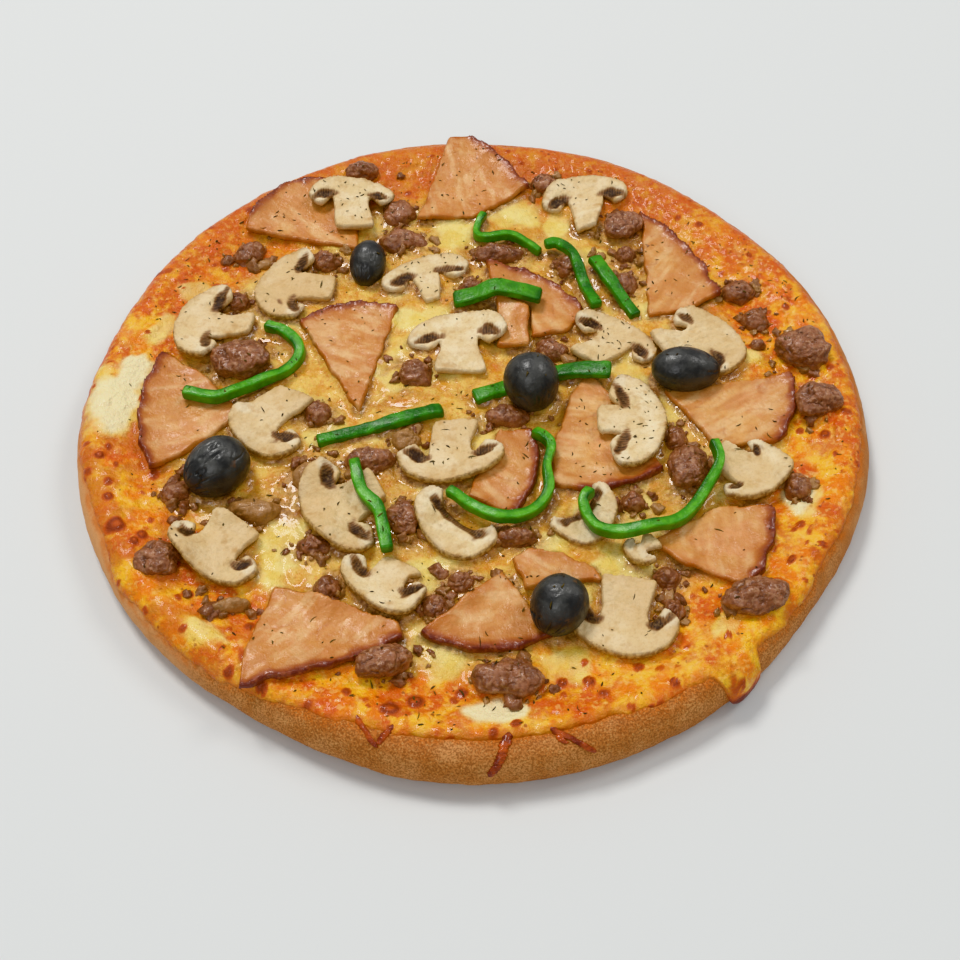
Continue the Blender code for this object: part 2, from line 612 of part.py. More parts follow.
def smooth_line(points, pitch):
    """Points about a pitch apart on a smooth curve through the given ones (Catmull-Rom)."""
    given = np.array(points, float)
    ends = np.vstack([2 * given[0] - given[1], given, 2 * given[-1] - given[-2]])
    pieces = []
    for before, start, end, after in zip(ends, ends[1:], ends[2:], ends[3:]):
        count = max(1, round(math.hypot(*(end - start)) / pitch))
        t = (np.arange(count) / count)[:, None]
        square = 2 * before - 5 * start + 4 * end - after
        cube = 3 * start - before - 3 * end + after
        pieces.append(0.5 * (2 * start + (end - before) * t + square * t ** 2 + cube * t ** 3))
    return np.vstack([*pieces, given[-1:]])


def pepper_outline(pepper):
    """Strip of even width along a smooth line, with blunt rounded ends."""
    line = smooth_line(pepper.line, 6.0)
    direction = np.gradient(line, axis=0)
    direction /= np.linalg.norm(direction, axis=1)[:, None]
    side = np.stack([direction[:, 1], -direction[:, 0]], 1) * pepper.width / 2
    side[[0, -1]] *= 0.6
    return np.concatenate([line + side, (line - side)[::-1]])


# Rounded toppings

def press(shape, centre):
    """Points of a lump, those that would sink into what lies below lifted clear of it."""
    points = np.array([vertex.co for vertex in shape.verts])
    world = points[:, :2] + centre
    part, x, y = window(world.min(0), world.max(0))
    level = sample(widened(ground, 1)[part], x, y, world[:, 0], world[:, 1]) + REST_GAP
    points[:, 2] = np.maximum(points[:, 2], level)
    return points


def chunk_piece(name, chunk, layer, collection):
    """Chunk of meat with a rough top, pressed onto what it lies on."""
    floor = cheese_height(chunk.x, chunk.y)
    tall = chunk._replace(height=2.0 * chunk.height)
    ball = lump_mesh(tall, floor, layer)
    return pressed_piece(name, ball, (chunk.x, chunk.y), collection, "meat")


def pressed_piece(name, ball, centre, collection, kind):
    """Object of a ball in mm, pressed onto the ground and settled there."""
    points = press(ball, np.array(centre, float))
    faces = [[vertex.index for vertex in face.verts] for face in ball.faces]
    ball.free()
    base = points[:, 2].min()
    piece = new_piece(name, points - (0.0, 0.0, base), faces, collection, kind, (*centre, base))
    piece.data.shade_smooth()
    settle(piece)
    return piece


def olive_piece(name, olive, layer, collection):
    """Whole olive, a little wider at one end, with shallow dents."""
    ball = bmesh.new()
    bmesh.ops.create_uvsphere(ball, u_segments=12, v_segments=8, radius=1.0)
    tilt = Euler((0.0, math.radians(90 - olive.rise), math.radians(olive.turn))).to_matrix()
    for vertex in ball.verts:
        away = vertex.co.copy()
        dent = noise.noise(away * 2 + Vector((layer, 0.0, 0.0)))
        radius = olive.diameter / 2 * (1.0 + 0.06 * away.z + 0.05 * dent)
        vertex.co = tilt @ Vector((away.x * radius, away.y * radius, away.z * olive.length / 2))
    lowest = min(vertex.co.z for vertex in ball.verts)
    part, x, y = window((olive.x - 4, olive.y - 4), (olive.x + 4, olive.y + 4), 0)
    lift = np.median(ground[part]) - OLIVE_SINK - lowest
    bmesh.ops.translate(ball, verts=ball.verts, vec=(0.0, 0.0, lift))
    return pressed_piece(name, ball, (olive.x, olive.y), collection, "olive")


def lay_slices(outlines, label, thickness, kind, collection):
    """Lay slices whose outlines are given in the plan, each round its own middle."""
    for number, outline in enumerate(outlines, 1):
        centre = np.round(outline.mean(0), 1)
        height = thickness[number - 1]
        slice_piece(f"{label}_{number:02d}", outline - centre, centre, 0.0, height, collection, kind)


def main():
    """Build the pizza from the crust up."""
    clear_scene()
    pizza = bpy.data.collections.new("pan_pizza")
    bpy.context.scene.collection.children.link(pizza)
    angle = azimuths()
    crust = loft("crust", crust_rings(angle), 0.0, CRUST_PROFILE[0][1], False, pizza, "crust")
    add_to_ground(crust)
    under = CRUST_PROFILE[0][1] + GAP
    cheese = loft("cheese", cheese_rings(angle), under, BED_HEIGHT, True, pizza, "cheese")
    add_to_ground(cheese)
    add_small_pieces(cheese)
    add_to_ground(cheese)
    lay_slices([ham_outline(ham) for ham in HAMS], "ham", [HAM_THICKNESS] * len(HAMS), "ham", pizza)
    for number, chunk in enumerate(MEAT, 1):
        chunk_piece(f"meat_{number:02d}", chunk, 3.1 * number, pizza)
    for number, one in enumerate(MUSHROOMS, 1):
        slice_piece(f"mushroom_{number:02d}", mushroom_outline(one), np.array((one.x, one.y), float),
                    one.turn - 90.0, MUSHROOM_THICKNESS, pizza, "mushroom")
    strips = [pepper_outline(one) for one in PEPPERS]
    lay_slices(strips, "pepper", [one.height for one in PEPPERS], "pepper", pizza)
    for number, olive in enumerate(OLIVES, 1):
        olive_piece(f"olive_{number:02d}", olive, 2.7 * number, pizza)


main()
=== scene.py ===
"""Looks of a pan pizza with ham, mushroom, olive, green pepper and meat.

Every shape is worked out in millimetres with numpy and written in metres. The
CAD nodes give each topping's place and height, and a finer piece replaces them.
"""
import math
from collections import namedtuple

import bpy
import numpy as np
from mathutils import Matrix, Vector
from mathutils.bvhtree import BVHTree


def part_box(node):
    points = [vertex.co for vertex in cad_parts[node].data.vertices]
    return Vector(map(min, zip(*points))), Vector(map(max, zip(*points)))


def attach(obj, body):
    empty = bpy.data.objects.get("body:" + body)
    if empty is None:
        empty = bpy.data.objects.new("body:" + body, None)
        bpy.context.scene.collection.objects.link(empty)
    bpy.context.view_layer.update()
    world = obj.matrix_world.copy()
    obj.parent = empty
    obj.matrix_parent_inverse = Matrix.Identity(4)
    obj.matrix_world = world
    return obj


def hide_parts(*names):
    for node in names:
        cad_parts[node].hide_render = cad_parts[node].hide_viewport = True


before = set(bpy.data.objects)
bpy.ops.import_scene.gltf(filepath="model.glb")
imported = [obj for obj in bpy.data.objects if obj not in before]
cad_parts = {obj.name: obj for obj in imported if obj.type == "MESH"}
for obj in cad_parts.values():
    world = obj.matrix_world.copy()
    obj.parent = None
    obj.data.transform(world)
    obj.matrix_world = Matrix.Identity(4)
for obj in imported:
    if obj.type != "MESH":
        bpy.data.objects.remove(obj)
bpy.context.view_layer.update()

MM = 0.001

# Driving sizes of the dough and the cheese, in mm
RADIUS = 151.6
# Count, height and phase of each wave
OUTLINE_WAVES = ((1, 1.4, -89.0), (2, 2.0, 160.0), (4, 1.2, -31.0), (5, 0.7, 54.0), (9, 0.5, 150.0))
CRUST_PROFILE = ((30.0, 9.0), (23.0, 9.4), (17.0, 12.0), (12.5, 15.0), (9.0, 16.4), (6.2, 16.3),
                 (3.4, 14.8), (1.2, 11.8), (0.1, 8.0), (0.3, 4.4), (1.8, 1.5), (4.5, 0.0))
FLOOR_INSET = 30.0
RIM_LENGTH = 19.0        # length along the profile where the cheese starts to thin out
CHEESE_DEPTH = ((0.0, 4.1), (7.0, 5.4), (13.5, 4.6), (19.0, 2.7))  # length along the profile, depth
# How far the cheese runs past the start of the rim: direction, length
REACHES = ((-180, 13.0), (-172, 12.5), (-165, 8.8), (-157, 8.4), (-148, 11.8), (-136, 10.8), (-126, 12.4),
           (-116, 8.6), (-106, 4.8), (-95, 2.6), (-86, 2.6), (-74, 3.2), (-66, 5.2), (-57, 7.6), (-48, 10.8),
           (-34, 10.8), (-20, 8.6), (0, 9.2), (40, 9.0), (90, 7.4), (140, 9.0), (160, 12.5), (180, 13.0))
# Cheese that ran down the side: direction, half width in degrees, length past the rim, thickness
RUNS = ((-54.2, 3.1, 23.6, 2.0), (-66.0, 1.6, 6.0, 0.6), (-110.0, 2.2, 6.5, 0.6), (-141.0, 1.8, 6.5, 0.6))

# Fineness of the meshes: points round the crust, cells across the cheese, grid pitches of the slices in mm,
# points round a pepper strip and across a drip
CRUST_COLUMNS = 900
CHEESE_CELLS = 300
HAM_PITCH, MUSHROOM_PITCH = 0.62, 0.5
STRIP_POINTS, DRIP_POINTS = 44, 13
HAM_THICKNESS, MUSHROOM_THICKNESS = 2.3, 3.1
HERB_COUNT, BITS_PER_CHUNK = 950, 13

# Toppings, as in the CAD: corners of the ham, and which of them starts the rind
Ham = namedtuple("Ham", "corners rind bulge ruffle")
HAMS = (
    Ham(((-93, 103), (-95, 94), (-47, 84), (-47, 119)), 3, 13.0, 0.8),
    Ham(((-22, 100), (3, 102), (27, 118), (3, 149), (-8, 149)), 2, 2.5, 0.5),
    Ham(((72, 41), (86, 43), (102, 50), (74, 101)), 2, 6.0, 1.3),
    Ham(((-121, 26), (-119, -32), (-110, -27), (-91, -10), (-90, -2), (-104, 15)), 0, 7.0, 1.2),
    Ham(((-43, -7), (-29, 49), (-69, 43)), 1, 6.0, 0.6),
    Ham(((7, 73), (9.5, 58), (24.5, 47), (24, 30), (38, 31.5), (42, 37), (46, 46)), 6, 6.0, 0.6),
    Ham(((11, 53), (10.5, 25), (23, 24), (23.4, 45)), 3, 0.0, 0.3),
    Ham(((74, 1), (91, -28), (115, -25), (124, 8), (100, 4)), 2, 3.5, 0.9),
    Ham(((45, 13), (37, -3), (30, -25), (28, -42), (40, -46), (70, -37), (54, 0)), 4, 3.0, 0.4),
    Ham(((10, -17), (3, -34), (-3, -48), (15, -56), (23, -17)), 3, 5.0, 0.5),
    Ham(((61, -69), (70, -78), (92, -89), (97, -86), (107, -55), (88, -54)), 3, 3.0, 1.4),
    Ham(((-69, -84), (-76, -109), (-77, -125), (-24, -106), (-26, -99), (-50, -90)), 2, 2.5, 1.0),
    Ham(((10, -79), (-19, -104), (26, -106)), 1, 6.5, 0.7),
    Ham(((13, -75), (17, -89), (30, -84), (44, -85), (42, -79), (30, -72), (19, -71)), 4, 0.0, 0.3),
)

Mushroom = namedtuple("Mushroom", "x y turn width dome lean stem shift end neck side gap")
MUSHROOMS = (
    Mushroom(-50, 111, 91, 37, 11.5, 0.8, 17.5, 1.5, 16.5, 7.5, 0.0, 3.0),
    Mushroom(-70, 62, 174, 38, 17.5, -4.0, 14.5, 0.5, 14, 7.0, 0.0, 3.5),
    Mushroom(-102, 39, 171, 39, 16.0, -1.0, 14.5, 3.5, 11, 6.0, 0.5, 4.0),
    Mushroom(-18, 66, 107, 38, 11.0, 5.0, 14.0, -1.0, 7, 5.0, 0.0, 4.0),
    Mushroom(51, 110, 98, 38, 13.0, -2.0, 19.0, -3.0, 9, 7.0, 0.0, 3.5),
    Mushroom(-5, 30, 92, 40, 14.0, 2.0, 18.0, 0.5, 20, 7.5, 0.5, 1.8),
    Mushroom(57, 28, 54, 37, 10.5, 0.0, 16.0, -4.0, 14, 7.0, 0.0, 2.5),
    Mushroom(91, 25, 25, 36, 15.5, 4.0, 17.0, -6.0, 13, 8.0, -1.0, 1.8),
    Mushroom(-77, -13, -126, 32, 13.0, -2.0, 19.0, 1.0, 18, 8.5, 4.5, 3.0),
    Mushroom(56, -15.5, -4, 46, 17.0, 0.0, 9.0, 0.5, 14, 6.5, 0.5, 2.0),
    Mushroom(-8, -29, -88, 40, 12.5, 1.5, 16.5, -2.5, 17, 7.5, 0.0, 3.5),
    Mushroom(-46, -51, -153, 42, 15.5, 0.5, 15.0, 3.5, 15, 8.5, 0.5, 2.0),
    Mushroom(-5, -57, -133, 35, 15.5, -3.0, 0.0, 0.0, 0, 0.0, 0.0, 0.0),
    Mushroom(-31, -83, -119, 33, 12.0, -5.0, 9.5, -2.0, 16, 6.5, -0.5, 2.5),
    Mushroom(-91, -69, -124, 37, 11.5, -3.5, 14.5, 0.0, 19, 8.5, 0.0, 2.2),
    Mushroom(38, -54, -50, 27, 15.0, 3.0, 0.0, 0.0, 0, 0.0, 0.0, 0.0),
    Mushroom(99, -39, -30, 29, 16.0, -5.0, 12.0, -2.0, 13, 7.0, -0.5, 2.5),
    Mushroom(50, -101, -101, 37, 14.5, -2.0, 16.5, 0.0, 19, 8.0, 0.0, 3.0),
    Mushroom(58, -74, -140, 14, 5.0, 0.0, 7.0, 0.0, 9, 2.0, 0.0, 2.2),
)
LIP, TUCK, GILL, RIM_WIDTH = 4.5, 0.2, 1.0, 2.5

# Pepper strips: width, height, side of the skin (0 is on top) and the points of the middle line
Pepper = namedtuple("Pepper", "width height skin line")
PEPPERS = (
    Pepper(3.2, 4.0, -1, ((7, 102), (4, 95), (4, 89), (9, 86), (18, 87), (24, 84), (30, 79))),
    Pepper(4.4, 3.5, 0, ((32, 80), (38, 81), (43, 73), (48, 55), (51, 43))),
    Pepper(5.2, 3.5, 0, ((52, 72), (58, 57), (67, 41))),
    Pepper(7.6, 3.6, 0, ((-6.5, 50.5), (4, 51.3), (11, 52.3), (18, 50.8), (29, 48.6))),
    Pepper(4.0, 4.5, 1, ((-82, 40), (-74, 36), (-68, 28), (-68, 21), (-74, 13), (-86, 5), (-96, 0),
                         (-110, 3))),
    Pepper(5.4, 3.8, 0, ((-58, -20), (-36, -14), (-11, -7))),
    Pepper(6.4, 3.4, 0, ((1, 0), (13, 4), (33, 11), (54, 8))),
    Pepper(4.4, 4.5, -1, ((-43, -34), (-40, -47), (-34, -55), (-32, -63), (-30, -73))),
    Pepper(3.8, 4.5, 1, ((23, -20), (29, -27), (27, -37), (27, -48), (20, -57), (9, -60), (-1, -54),
                         (-9, -48))),
    Pepper(3.8, 4.8, -1, ((42, -50), (39, -56), (44, -66), (58, -68), (73, -62), (83, -50), (89, -40),
                          (88, -31))),
)

Olive = namedtuple("Olive", "x y diameter length turn rise wrinkle")
OLIVES = (
    Olive(-42, 72, 15.0, 20.5, 82, 20, 0.5), Olive(23, 0, 21.0, 23.0, 100, 35, 0.4),
    Olive(82.5, 7, 17.5, 26.5, 178, 5, 0.5), Olive(-93, -36, 21.0, 25.5, 35, 12, 1.0),
    Olive(28, -98, 19.5, 21.5, 60, 30, 0.9),
)

Chunk = namedtuple("Chunk", "x y width depth height turn")
MEAT = (
    Chunk(-91, 20, 21, 15, 8.5, 10), Chunk(130, 18, 20, 16, 8.0, -15), Chunk(131, -9, 16, 13, 7.0, 20),
    Chunk(79, -37, 13, 17, 7.5, 0), Chunk(96, -95, 22, 12, 6.5, 10), Chunk(11, -122, 21, 12, 8.0, 5),
    Chunk(-30, -116, 18, 10, 7.0, 15), Chunk(-110, -74, 16, 13, 6.5, -10), Chunk(65, 93, 16, 13, 7.0, 0),
    Chunk(-25, -57, 10, 14, 5.5, 10),
)
CRUMBS = (
    Chunk(-46, 131, 15, 9, 4.5, 0), Chunk(-30, 106, 12, 12, 4.5, 0), Chunk(-92, 83, 14, 11, 4.5, 30),
    Chunk(-60, 77, 13, 9, 4.5, 0), Chunk(-95, 55, 10, 8, 4.0, 0), Chunk(-22, 14, 14, 12, 5.0, 0),
    Chunk(34, 123, 11, 9, 4.0, 0), Chunk(13, 80, 19, 9, 4.5, 0), Chunk(42, 71, 11, 10, 4.5, 0),
    Chunk(1, 59, 10, 9, 4.0, 0), Chunk(33, 25, 12, 9, 4.0, 0), Chunk(110, 54, 13, 10, 4.5, 0),
    Chunk(64, 60, 10, 10, 4.5, 0), Chunk(13, -9, 17, 9, 4.5, 0), Chunk(118, -47, 9, 10, 4.5, 0),
    Chunk(66, -83, 10, 8, 4.0, 0), Chunk(-108, -42, 13, 9, 4.5, 0), Chunk(-38, -29, 16, 9, 4.5, 0),
    Chunk(-5, -83, 10, 8, 4.0, 0), Chunk(-14, -92, 9, 10, 4.0, 0), Chunk(-51, -84, 8, 10, 4.0, 0),
    Chunk(-57, -66, 13, 8, 4.0, 0), Chunk(-79, -51, 20, 9, 4.5, 0), Chunk(-59, -6, 10, 9, 4.0, 0),
    Chunk(-60, -35, 14, 12, 4.0, 30), Chunk(76, -22, 9, 10, 4.5, 0), Chunk(58, -51, 9, 9, 4.0, 0),
    Chunk(15, -66, 12, 6, 3.5, 0), Chunk(-28, 89, 17, 11, 4.5, 0), Chunk(115, 38, 11, 11, 4.0, 0),
    Chunk(-24, -20, 10, 9, 4.0, 0), Chunk(66, 77, 9, 9, 4.5, 0), Chunk(-86, -92, 15, 5, 3.5, 15),
    Chunk(67, -97, 8, 9, 4.0, 0),
)


# Camera, lights and floor

CAMERA_PLACE = (2.6, -326.0, 393.9)
CAMERA_ELEVATION = 52.93
CAMERA_ROLL = -1.32
CAMERA_LENS = 48.75


def set_camera():
    """Camera at the photograph's place, looking down at its elevation and a little rolled."""
    elevation, roll = math.radians(CAMERA_ELEVATION), math.radians(CAMERA_ROLL)
    back = Vector((0.0, -math.cos(elevation), math.sin(elevation)))
    level = Vector((1.0, 0.0, 0.0))
    upright = back.cross(level)
    right = level * math.cos(roll) + upright * math.sin(roll)
    up = upright * math.cos(roll) - level * math.sin(roll)
    lens = bpy.data.cameras.new("camera")
    lens.lens, lens.sensor_width = CAMERA_LENS, 36.0
    lens.clip_start = 0.01
    camera = bpy.data.objects.new("camera", lens)
    place = Matrix((right, up, back)).transposed().to_4x4()
    place.translation = Vector(CAMERA_PLACE) * MM
    camera.matrix_world = place
    bpy.context.scene.collection.objects.link(camera)
    bpy.context.scene.camera = camera


def area_light(name, place, target, size, power, colour):
    """Square softbox that faces a point."""
    light = bpy.data.lights.new(name, "AREA")
    light.size, light.energy, light.color = size, power, colour
    lamp = bpy.data.objects.new(name, light)
    lamp.location = place
    lamp.rotation_euler = (Vector(place) - Vector(target)).to_track_quat("Z", "Y").to_euler()
    bpy.context.scene.collection.objects.link(lamp)


def set_studio():
    """Pale floor, two softboxes and an even pale surround."""
    world = bpy.data.worlds.new("surround")
    world.use_nodes = True
    surround = world.node_tree.nodes["Background"]
    surround.inputs["Color"].default_value = (0.95, 0.97, 1.0, 1.0)
    surround.inputs["Strength"].default_value = 0.40
    bpy.context.scene.world = world
    bpy.context.scene.view_settings.view_transform = "Khronos PBR Neutral"
    area_light("back_softbox", (-0.7, 1.1, 2.3), (0, 0, 0), 0.68, 34.8, (1.0, 0.985, 0.96))
    area_light("side_softbox", (1.5, 0.7, 2.0), (0, 0, 0), 0.8, 14.0, (1.0, 0.98, 0.95))
    area_light("front_softbox", (-0.8, -1.8, 2.0), (0, 0, 0), 1.2, 14.0, (0.98, 0.99, 1.0))
    bpy.ops.mesh.primitive_plane_add(size=8.0, location=(0, 0, -0.0002))
    floor = bpy.context.object
    floor.name = "floor"
    finish, shader = new_material("floor_paper")
    shader.inputs["Base Color"].default_value = (*paint(219, 221, 220), 1.0)
    settle(shader, Roughness=0.7)
    floor.data.materials.append(finish)


# Noise and distances as whole arrays

def lattice(cells, seed):
    """Pseudo-random value from 0 to 1 for each whole-number cell, by mixing the bits of its coordinates."""
    mixed = cells[..., 0] * 374761393 + cells[..., 1] * 668265263 + cells[..., 2] * 1442695041 + seed * 69069
    mixed = (mixed ^ (mixed >> 13)) & 0x7FFFFFFF
    mixed = (mixed * 1274126177) & 0x7FFFFFFF
    mixed = ((mixed ^ (mixed >> 16)) * 1103515245) & 0x7FFFFFFF
    mixed ^= mixed >> 15
    return (mixed & 0xFFFFFF) / 0xFFFFFF


def as_space(points):
    """Points of the plan or of space as (n, 3)."""
    points = np.asarray(points, float)
    if points.shape[-1] == 2:
        points = np.concatenate([points, np.zeros(points.shape[:-1] + (1,))], -1)
    return points


def smooth_noise(points, scale, seed):
    """Noise from -1 to 1: random values at the corners of cells, blended by quintic steps along each axis."""
    spot = as_space(points) / scale
    cell = np.floor(spot).astype(np.int64)
    part = spot - cell
    part = part ** 3 * (part * (part * 6 - 15) + 10)
    total = 0.0
    for corner in np.ndindex(2, 2, 2):
        weight = np.prod(np.where(corner, part, 1 - part), axis=-1)
        total = total + weight * lattice(cell + corner, seed)
    return total * 2 - 1


def layered_noise(points, scale, seed, layers=3):
    """Sum of smooth noises, each at half the scale and half the height of the one before."""
    total = sum(smooth_noise(points, scale / 2 ** k, seed + 11 * k) / 2 ** k for k in range(layers))
    return total / (2 - 2 ** (1 - layers))


def scattered_cells(points, scale, seed):
    """Distance in cells to the nearest of one point a cell, to the next nearest, and the nearest's value."""
    spot = as_space(points) / scale
    cell = np.floor(spot).astype(np.int64)
    flat = np.asarray(points).shape[-1] == 2
    nearest, second = np.full(spot.shape[:-1], 9.0), np.full(spot.shape[:-1], 9.0)
    value = np.zeros(spot.shape[:-1])
    for near in np.ndindex(3, 3, 1 if flat else 3):
        other = cell + np.array(near) - (1, 1, 0 if flat else 1)
        place = other + np.stack([lattice(other, seed + k) for k in (1, 2, 3)], -1) * (1, 1, 0 if flat else 1)
        away = np.linalg.norm(spot - place, axis=-1)
        closer = away < nearest
        second = np.where(closer, nearest, np.minimum(second, away))
        value = np.where(closer, lattice(other, seed + 4), value)
        nearest = np.where(closer, away, nearest)
    return nearest, second, value


def step(value, low, high):
    """Smooth step from 0 at low to 1 at high."""
    share = np.clip((value - low) / (high - low), 0.0, 1.0)
    return share * share * (3 - 2 * share)


def line_distance(points, line, closed):
    """Distance from each point to a polyline of the plan."""
    start = line if closed else line[:-1]
    end = np.roll(line, -1, axis=0) if closed else line[1:]
    along = end - start
    share = ((points[:, None] - start) * along).sum(2) / np.maximum((along ** 2).sum(1), 1e-9)
    nearest = start + along * np.clip(share, 0, 1)[:, :, None]
    return np.linalg.norm(points[:, None] - nearest, axis=2).min(1)


def signed_distance(points, outline):
    """Distance to a closed outline, negative inside, where a ray crosses it an odd number of times."""
    start, end = outline, np.roll(outline, -1, axis=0)
    x, y = points[:, :1], points[:, 1:]
    rise = np.where(end[:, 1] == start[:, 1], 1e-12, end[:, 1] - start[:, 1])
    crossing = (start[:, 1] > y) != (end[:, 1] > y)
    crossing &= x < (end[:, 0] - start[:, 0]) * (y - start[:, 1]) / rise + start[:, 0]
    inside = crossing.sum(1) % 2 == 1
    return np.where(inside, -1.0, 1.0) * line_distance(points, outline, True)


def averaged(levels, times):
    """Each cell's mean with its eight neighbours, so many times."""
    for _ in range(times):
        wide = np.pad(levels, 1, mode="edge")
        rows = wide[:-2] + wide[1:-1] + wide[2:]
        levels = (rows[:, :-2] + rows[:, 1:-1] + rows[:, 2:]) / 9.0
    return levels


def sample(levels, low, pitch, x, y):
    """Levels of a grid that starts at low, read between its cells."""
    column = np.clip((x - low[0]) / pitch, 0, levels.shape[1] - 1.001)
    row = np.clip((y - low[1]) / pitch, 0, levels.shape[0] - 1.001)
    c, r = column.astype(int), row.astype(int)
    u, v = column - c, row - r
    near = levels[r, c] * (1 - u) + levels[r, c + 1] * u
    far = levels[r + 1, c] * (1 - u) + levels[r + 1, c + 1] * u
    return near * (1 - v) + far * v


def smooth_line(points, pitch, closed=False):
    """Points about a pitch apart on a smooth curve through the given ones (Catmull-Rom)."""
    given = np.array(points, float)
    if closed:
        ends = np.vstack([given[-1], given, given[:2]])
    else:
        ends = np.vstack([2 * given[0] - given[1], given, 2 * given[-1] - given[-2]])
    pieces = []
    for before, start, end, after in zip(ends, ends[1:], ends[2:], ends[3:]):
        count = max(1, round(float(np.linalg.norm(end - start)) / pitch))
        t = (np.arange(count) / count)[:, None]
        square = 2 * before - 5 * start + 4 * end - after
        cube = 3 * start - before - 3 * end + after
        pieces.append(0.5 * (2 * start + (end - before) * t + square * t ** 2 + cube * t ** 3))
    return np.vstack(pieces if closed else [*pieces, given[-1:]])


def turned(points, degrees):
    """Points of the plan turned about the origin."""
    angle = math.radians(degrees)
    turn = np.array(((math.cos(angle), math.sin(angle)), (-math.sin(angle), math.cos(angle))))
    return np.asarray(points, float) @ turn


# Meshes

def add_piece(name, points, faces, finish, nodes, masks=None):
    """Object of points in mm with faces of equal length, its masks as attributes, standing for CAD nodes."""
    points = np.asarray(points, np.float64) * MM
    groups = faces if isinstance(faces, (list, tuple)) else [faces]
    corners = np.concatenate([group.ravel() for group in groups])
    lengths = np.concatenate([np.full(len(group), group.shape[1]) for group in groups])
    starts = np.concatenate([[0], np.cumsum(lengths)[:-1]])
    mesh = bpy.data.meshes.new(name)
    mesh.vertices.add(len(points))
    mesh.vertices.foreach_set("co", points.ravel())
    mesh.loops.add(len(corners))
    mesh.loops.foreach_set("vertex_index", corners.astype(np.int32))
    mesh.polygons.add(len(lengths))
    mesh.polygons.foreach_set("loop_start", starts.astype(np.int32))
    mesh.polygons.foreach_set("loop_total", lengths.astype(np.int32))
    for key, values in (masks or {}).items():
        layer = mesh.attributes.new(key, "FLOAT", "POINT")
        layer.data.foreach_set("value", np.clip(np.asarray(values, np.float32).ravel(), -1.0, 1.0))
    mesh.materials.append(finish)
    mesh.update(calc_edges=True)
    mesh.validate()
    mesh.shade_smooth()
    piece = bpy.data.objects.new(name, mesh)
    bpy.context.scene.collection.objects.link(piece)
    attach(piece, "root")
    if nodes:
        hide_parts(*nodes)
    note_tops(points / MM)
    return piece


def grid_faces(rows, columns, wrap=False):
    """Quads between neighbours of a grid of points, rows first, closed along the columns if wrap."""
    row, column = np.meshgrid(np.arange(rows - 1), np.arange(columns if wrap else columns - 1), indexing="ij")
    after = (column + 1) % columns
    return np.stack([row * columns + column, row * columns + after,
                     (row + 1) * columns + after, (row + 1) * columns + column], -1).reshape(-1, 4)


def ring_faces(rings, flip=False):
    """Quads between neighbouring closed rings of point numbers."""
    after = np.roll(rings, -1, axis=1)
    quads = np.stack([rings[:-1], after[:-1], after[1:], rings[1:]], -1).reshape(-1, 4)
    return quads[:, ::-1] if flip else quads


def fan_faces(ring, middle, flip=False):
    """Triangles from a closed ring of points to one point."""
    after = np.roll(ring, -1)
    order = (after, ring) if flip else (ring, after)
    return np.stack([*order, np.full(len(ring), middle)], -1)


# Tops of everything laid so far, on a grid, so that herbs can lie on them
TOPS_PITCH = 1.0
TOPS_HALF = 160
tops = np.zeros((2 * TOPS_HALF + 1, 2 * TOPS_HALF + 1))


def note_tops(points):
    """Raise the grid of tops to the highest point in each of its cells."""
    index = np.clip(np.rint(points[:, :2] / TOPS_PITCH).astype(int) + TOPS_HALF, 0, 2 * TOPS_HALF)
    np.maximum.at(tops, (index[:, 1], index[:, 0]), points[:, 2])


# Heights from the CAD nodes

def cad_tree(node):
    """Search tree of a CAD node."""
    return BVHTree.FromObject(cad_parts[node], bpy.context.evaluated_depsgraph_get())


def cad_heights(tree, x, y, upward):
    """Height in mm where a vertical ray first meets a CAD node, NaN where it misses."""
    start, heading = (-0.05, Vector((0, 0, 1))) if upward else (0.2, Vector((0, 0, -1)))
    found = np.full(x.shape, np.nan)
    for spot in np.ndindex(x.shape):
        hit = tree.ray_cast(Vector((x[spot] * MM, y[spot] * MM, start)), heading)[0]
        if hit is not None:
            found[spot] = hit.z / MM
    return found


def filled(levels):
    """Levels with each gap filled from its neighbours, outwards from the edge of what is known."""
    known = np.isfinite(levels)
    levels = np.where(known, levels, 0.0)
    while not known.all():
        wide, near = np.pad(levels * known, 1), np.pad(known.astype(float), 1)
        rows, count = wide[:-2] + wide[1:-1] + wide[2:], near[:-2] + near[1:-1] + near[2:]
        total = rows[:, :-2] + rows[:, 1:-1] + rows[:, 2:]
        amount = count[:, :-2] + count[:, 1:-1] + count[:, 2:]
        levels = np.where(known, levels, total / np.maximum(amount, 1))
        known = known | (amount > 0)
    return levels


def cad_middle(node, low, high, pitch=2.0):
    """Middle height of a flat CAD node on a grid, carried on past its edge, with the grid's start."""
    tree = cad_tree(node)
    x, y = np.meshgrid(np.arange(low[0], high[0] + pitch, pitch), np.arange(low[1], high[1] + pitch, pitch))
    middle = (cad_heights(tree, x, y, True) + cad_heights(tree, x, y, False)) / 2
    return filled(middle), (x[0, 0], y[0, 0]), pitch


# Material building

def paint(red, green, blue):
    """Linear colour of a paint that is given as it looks on a screen, from 0 to 255."""
    share = np.array((red, green, blue)) / 255.0
    return tuple(np.where(share <= 0.04045, share / 12.92, ((share + 0.055) / 1.055) ** 2.4).tolist())


def new_material(name):
    """Material and its Principled shader."""
    finish = bpy.data.materials.new(name)
    finish.use_nodes = True
    return finish, finish.node_tree.nodes["Principled BSDF"]


def put(tree, kind, inputs=None, **settings):
    """Node with its settings, whose inputs take values or other nodes' outputs."""
    node = tree.nodes.new(kind)
    for key, value in settings.items():
        setattr(node, key, value)
    for socket, value in (inputs or {}).items():
        if isinstance(value, bpy.types.NodeSocket):
            tree.links.new(value, node.inputs[socket])
        else:
            node.inputs[socket].default_value = value
    return node


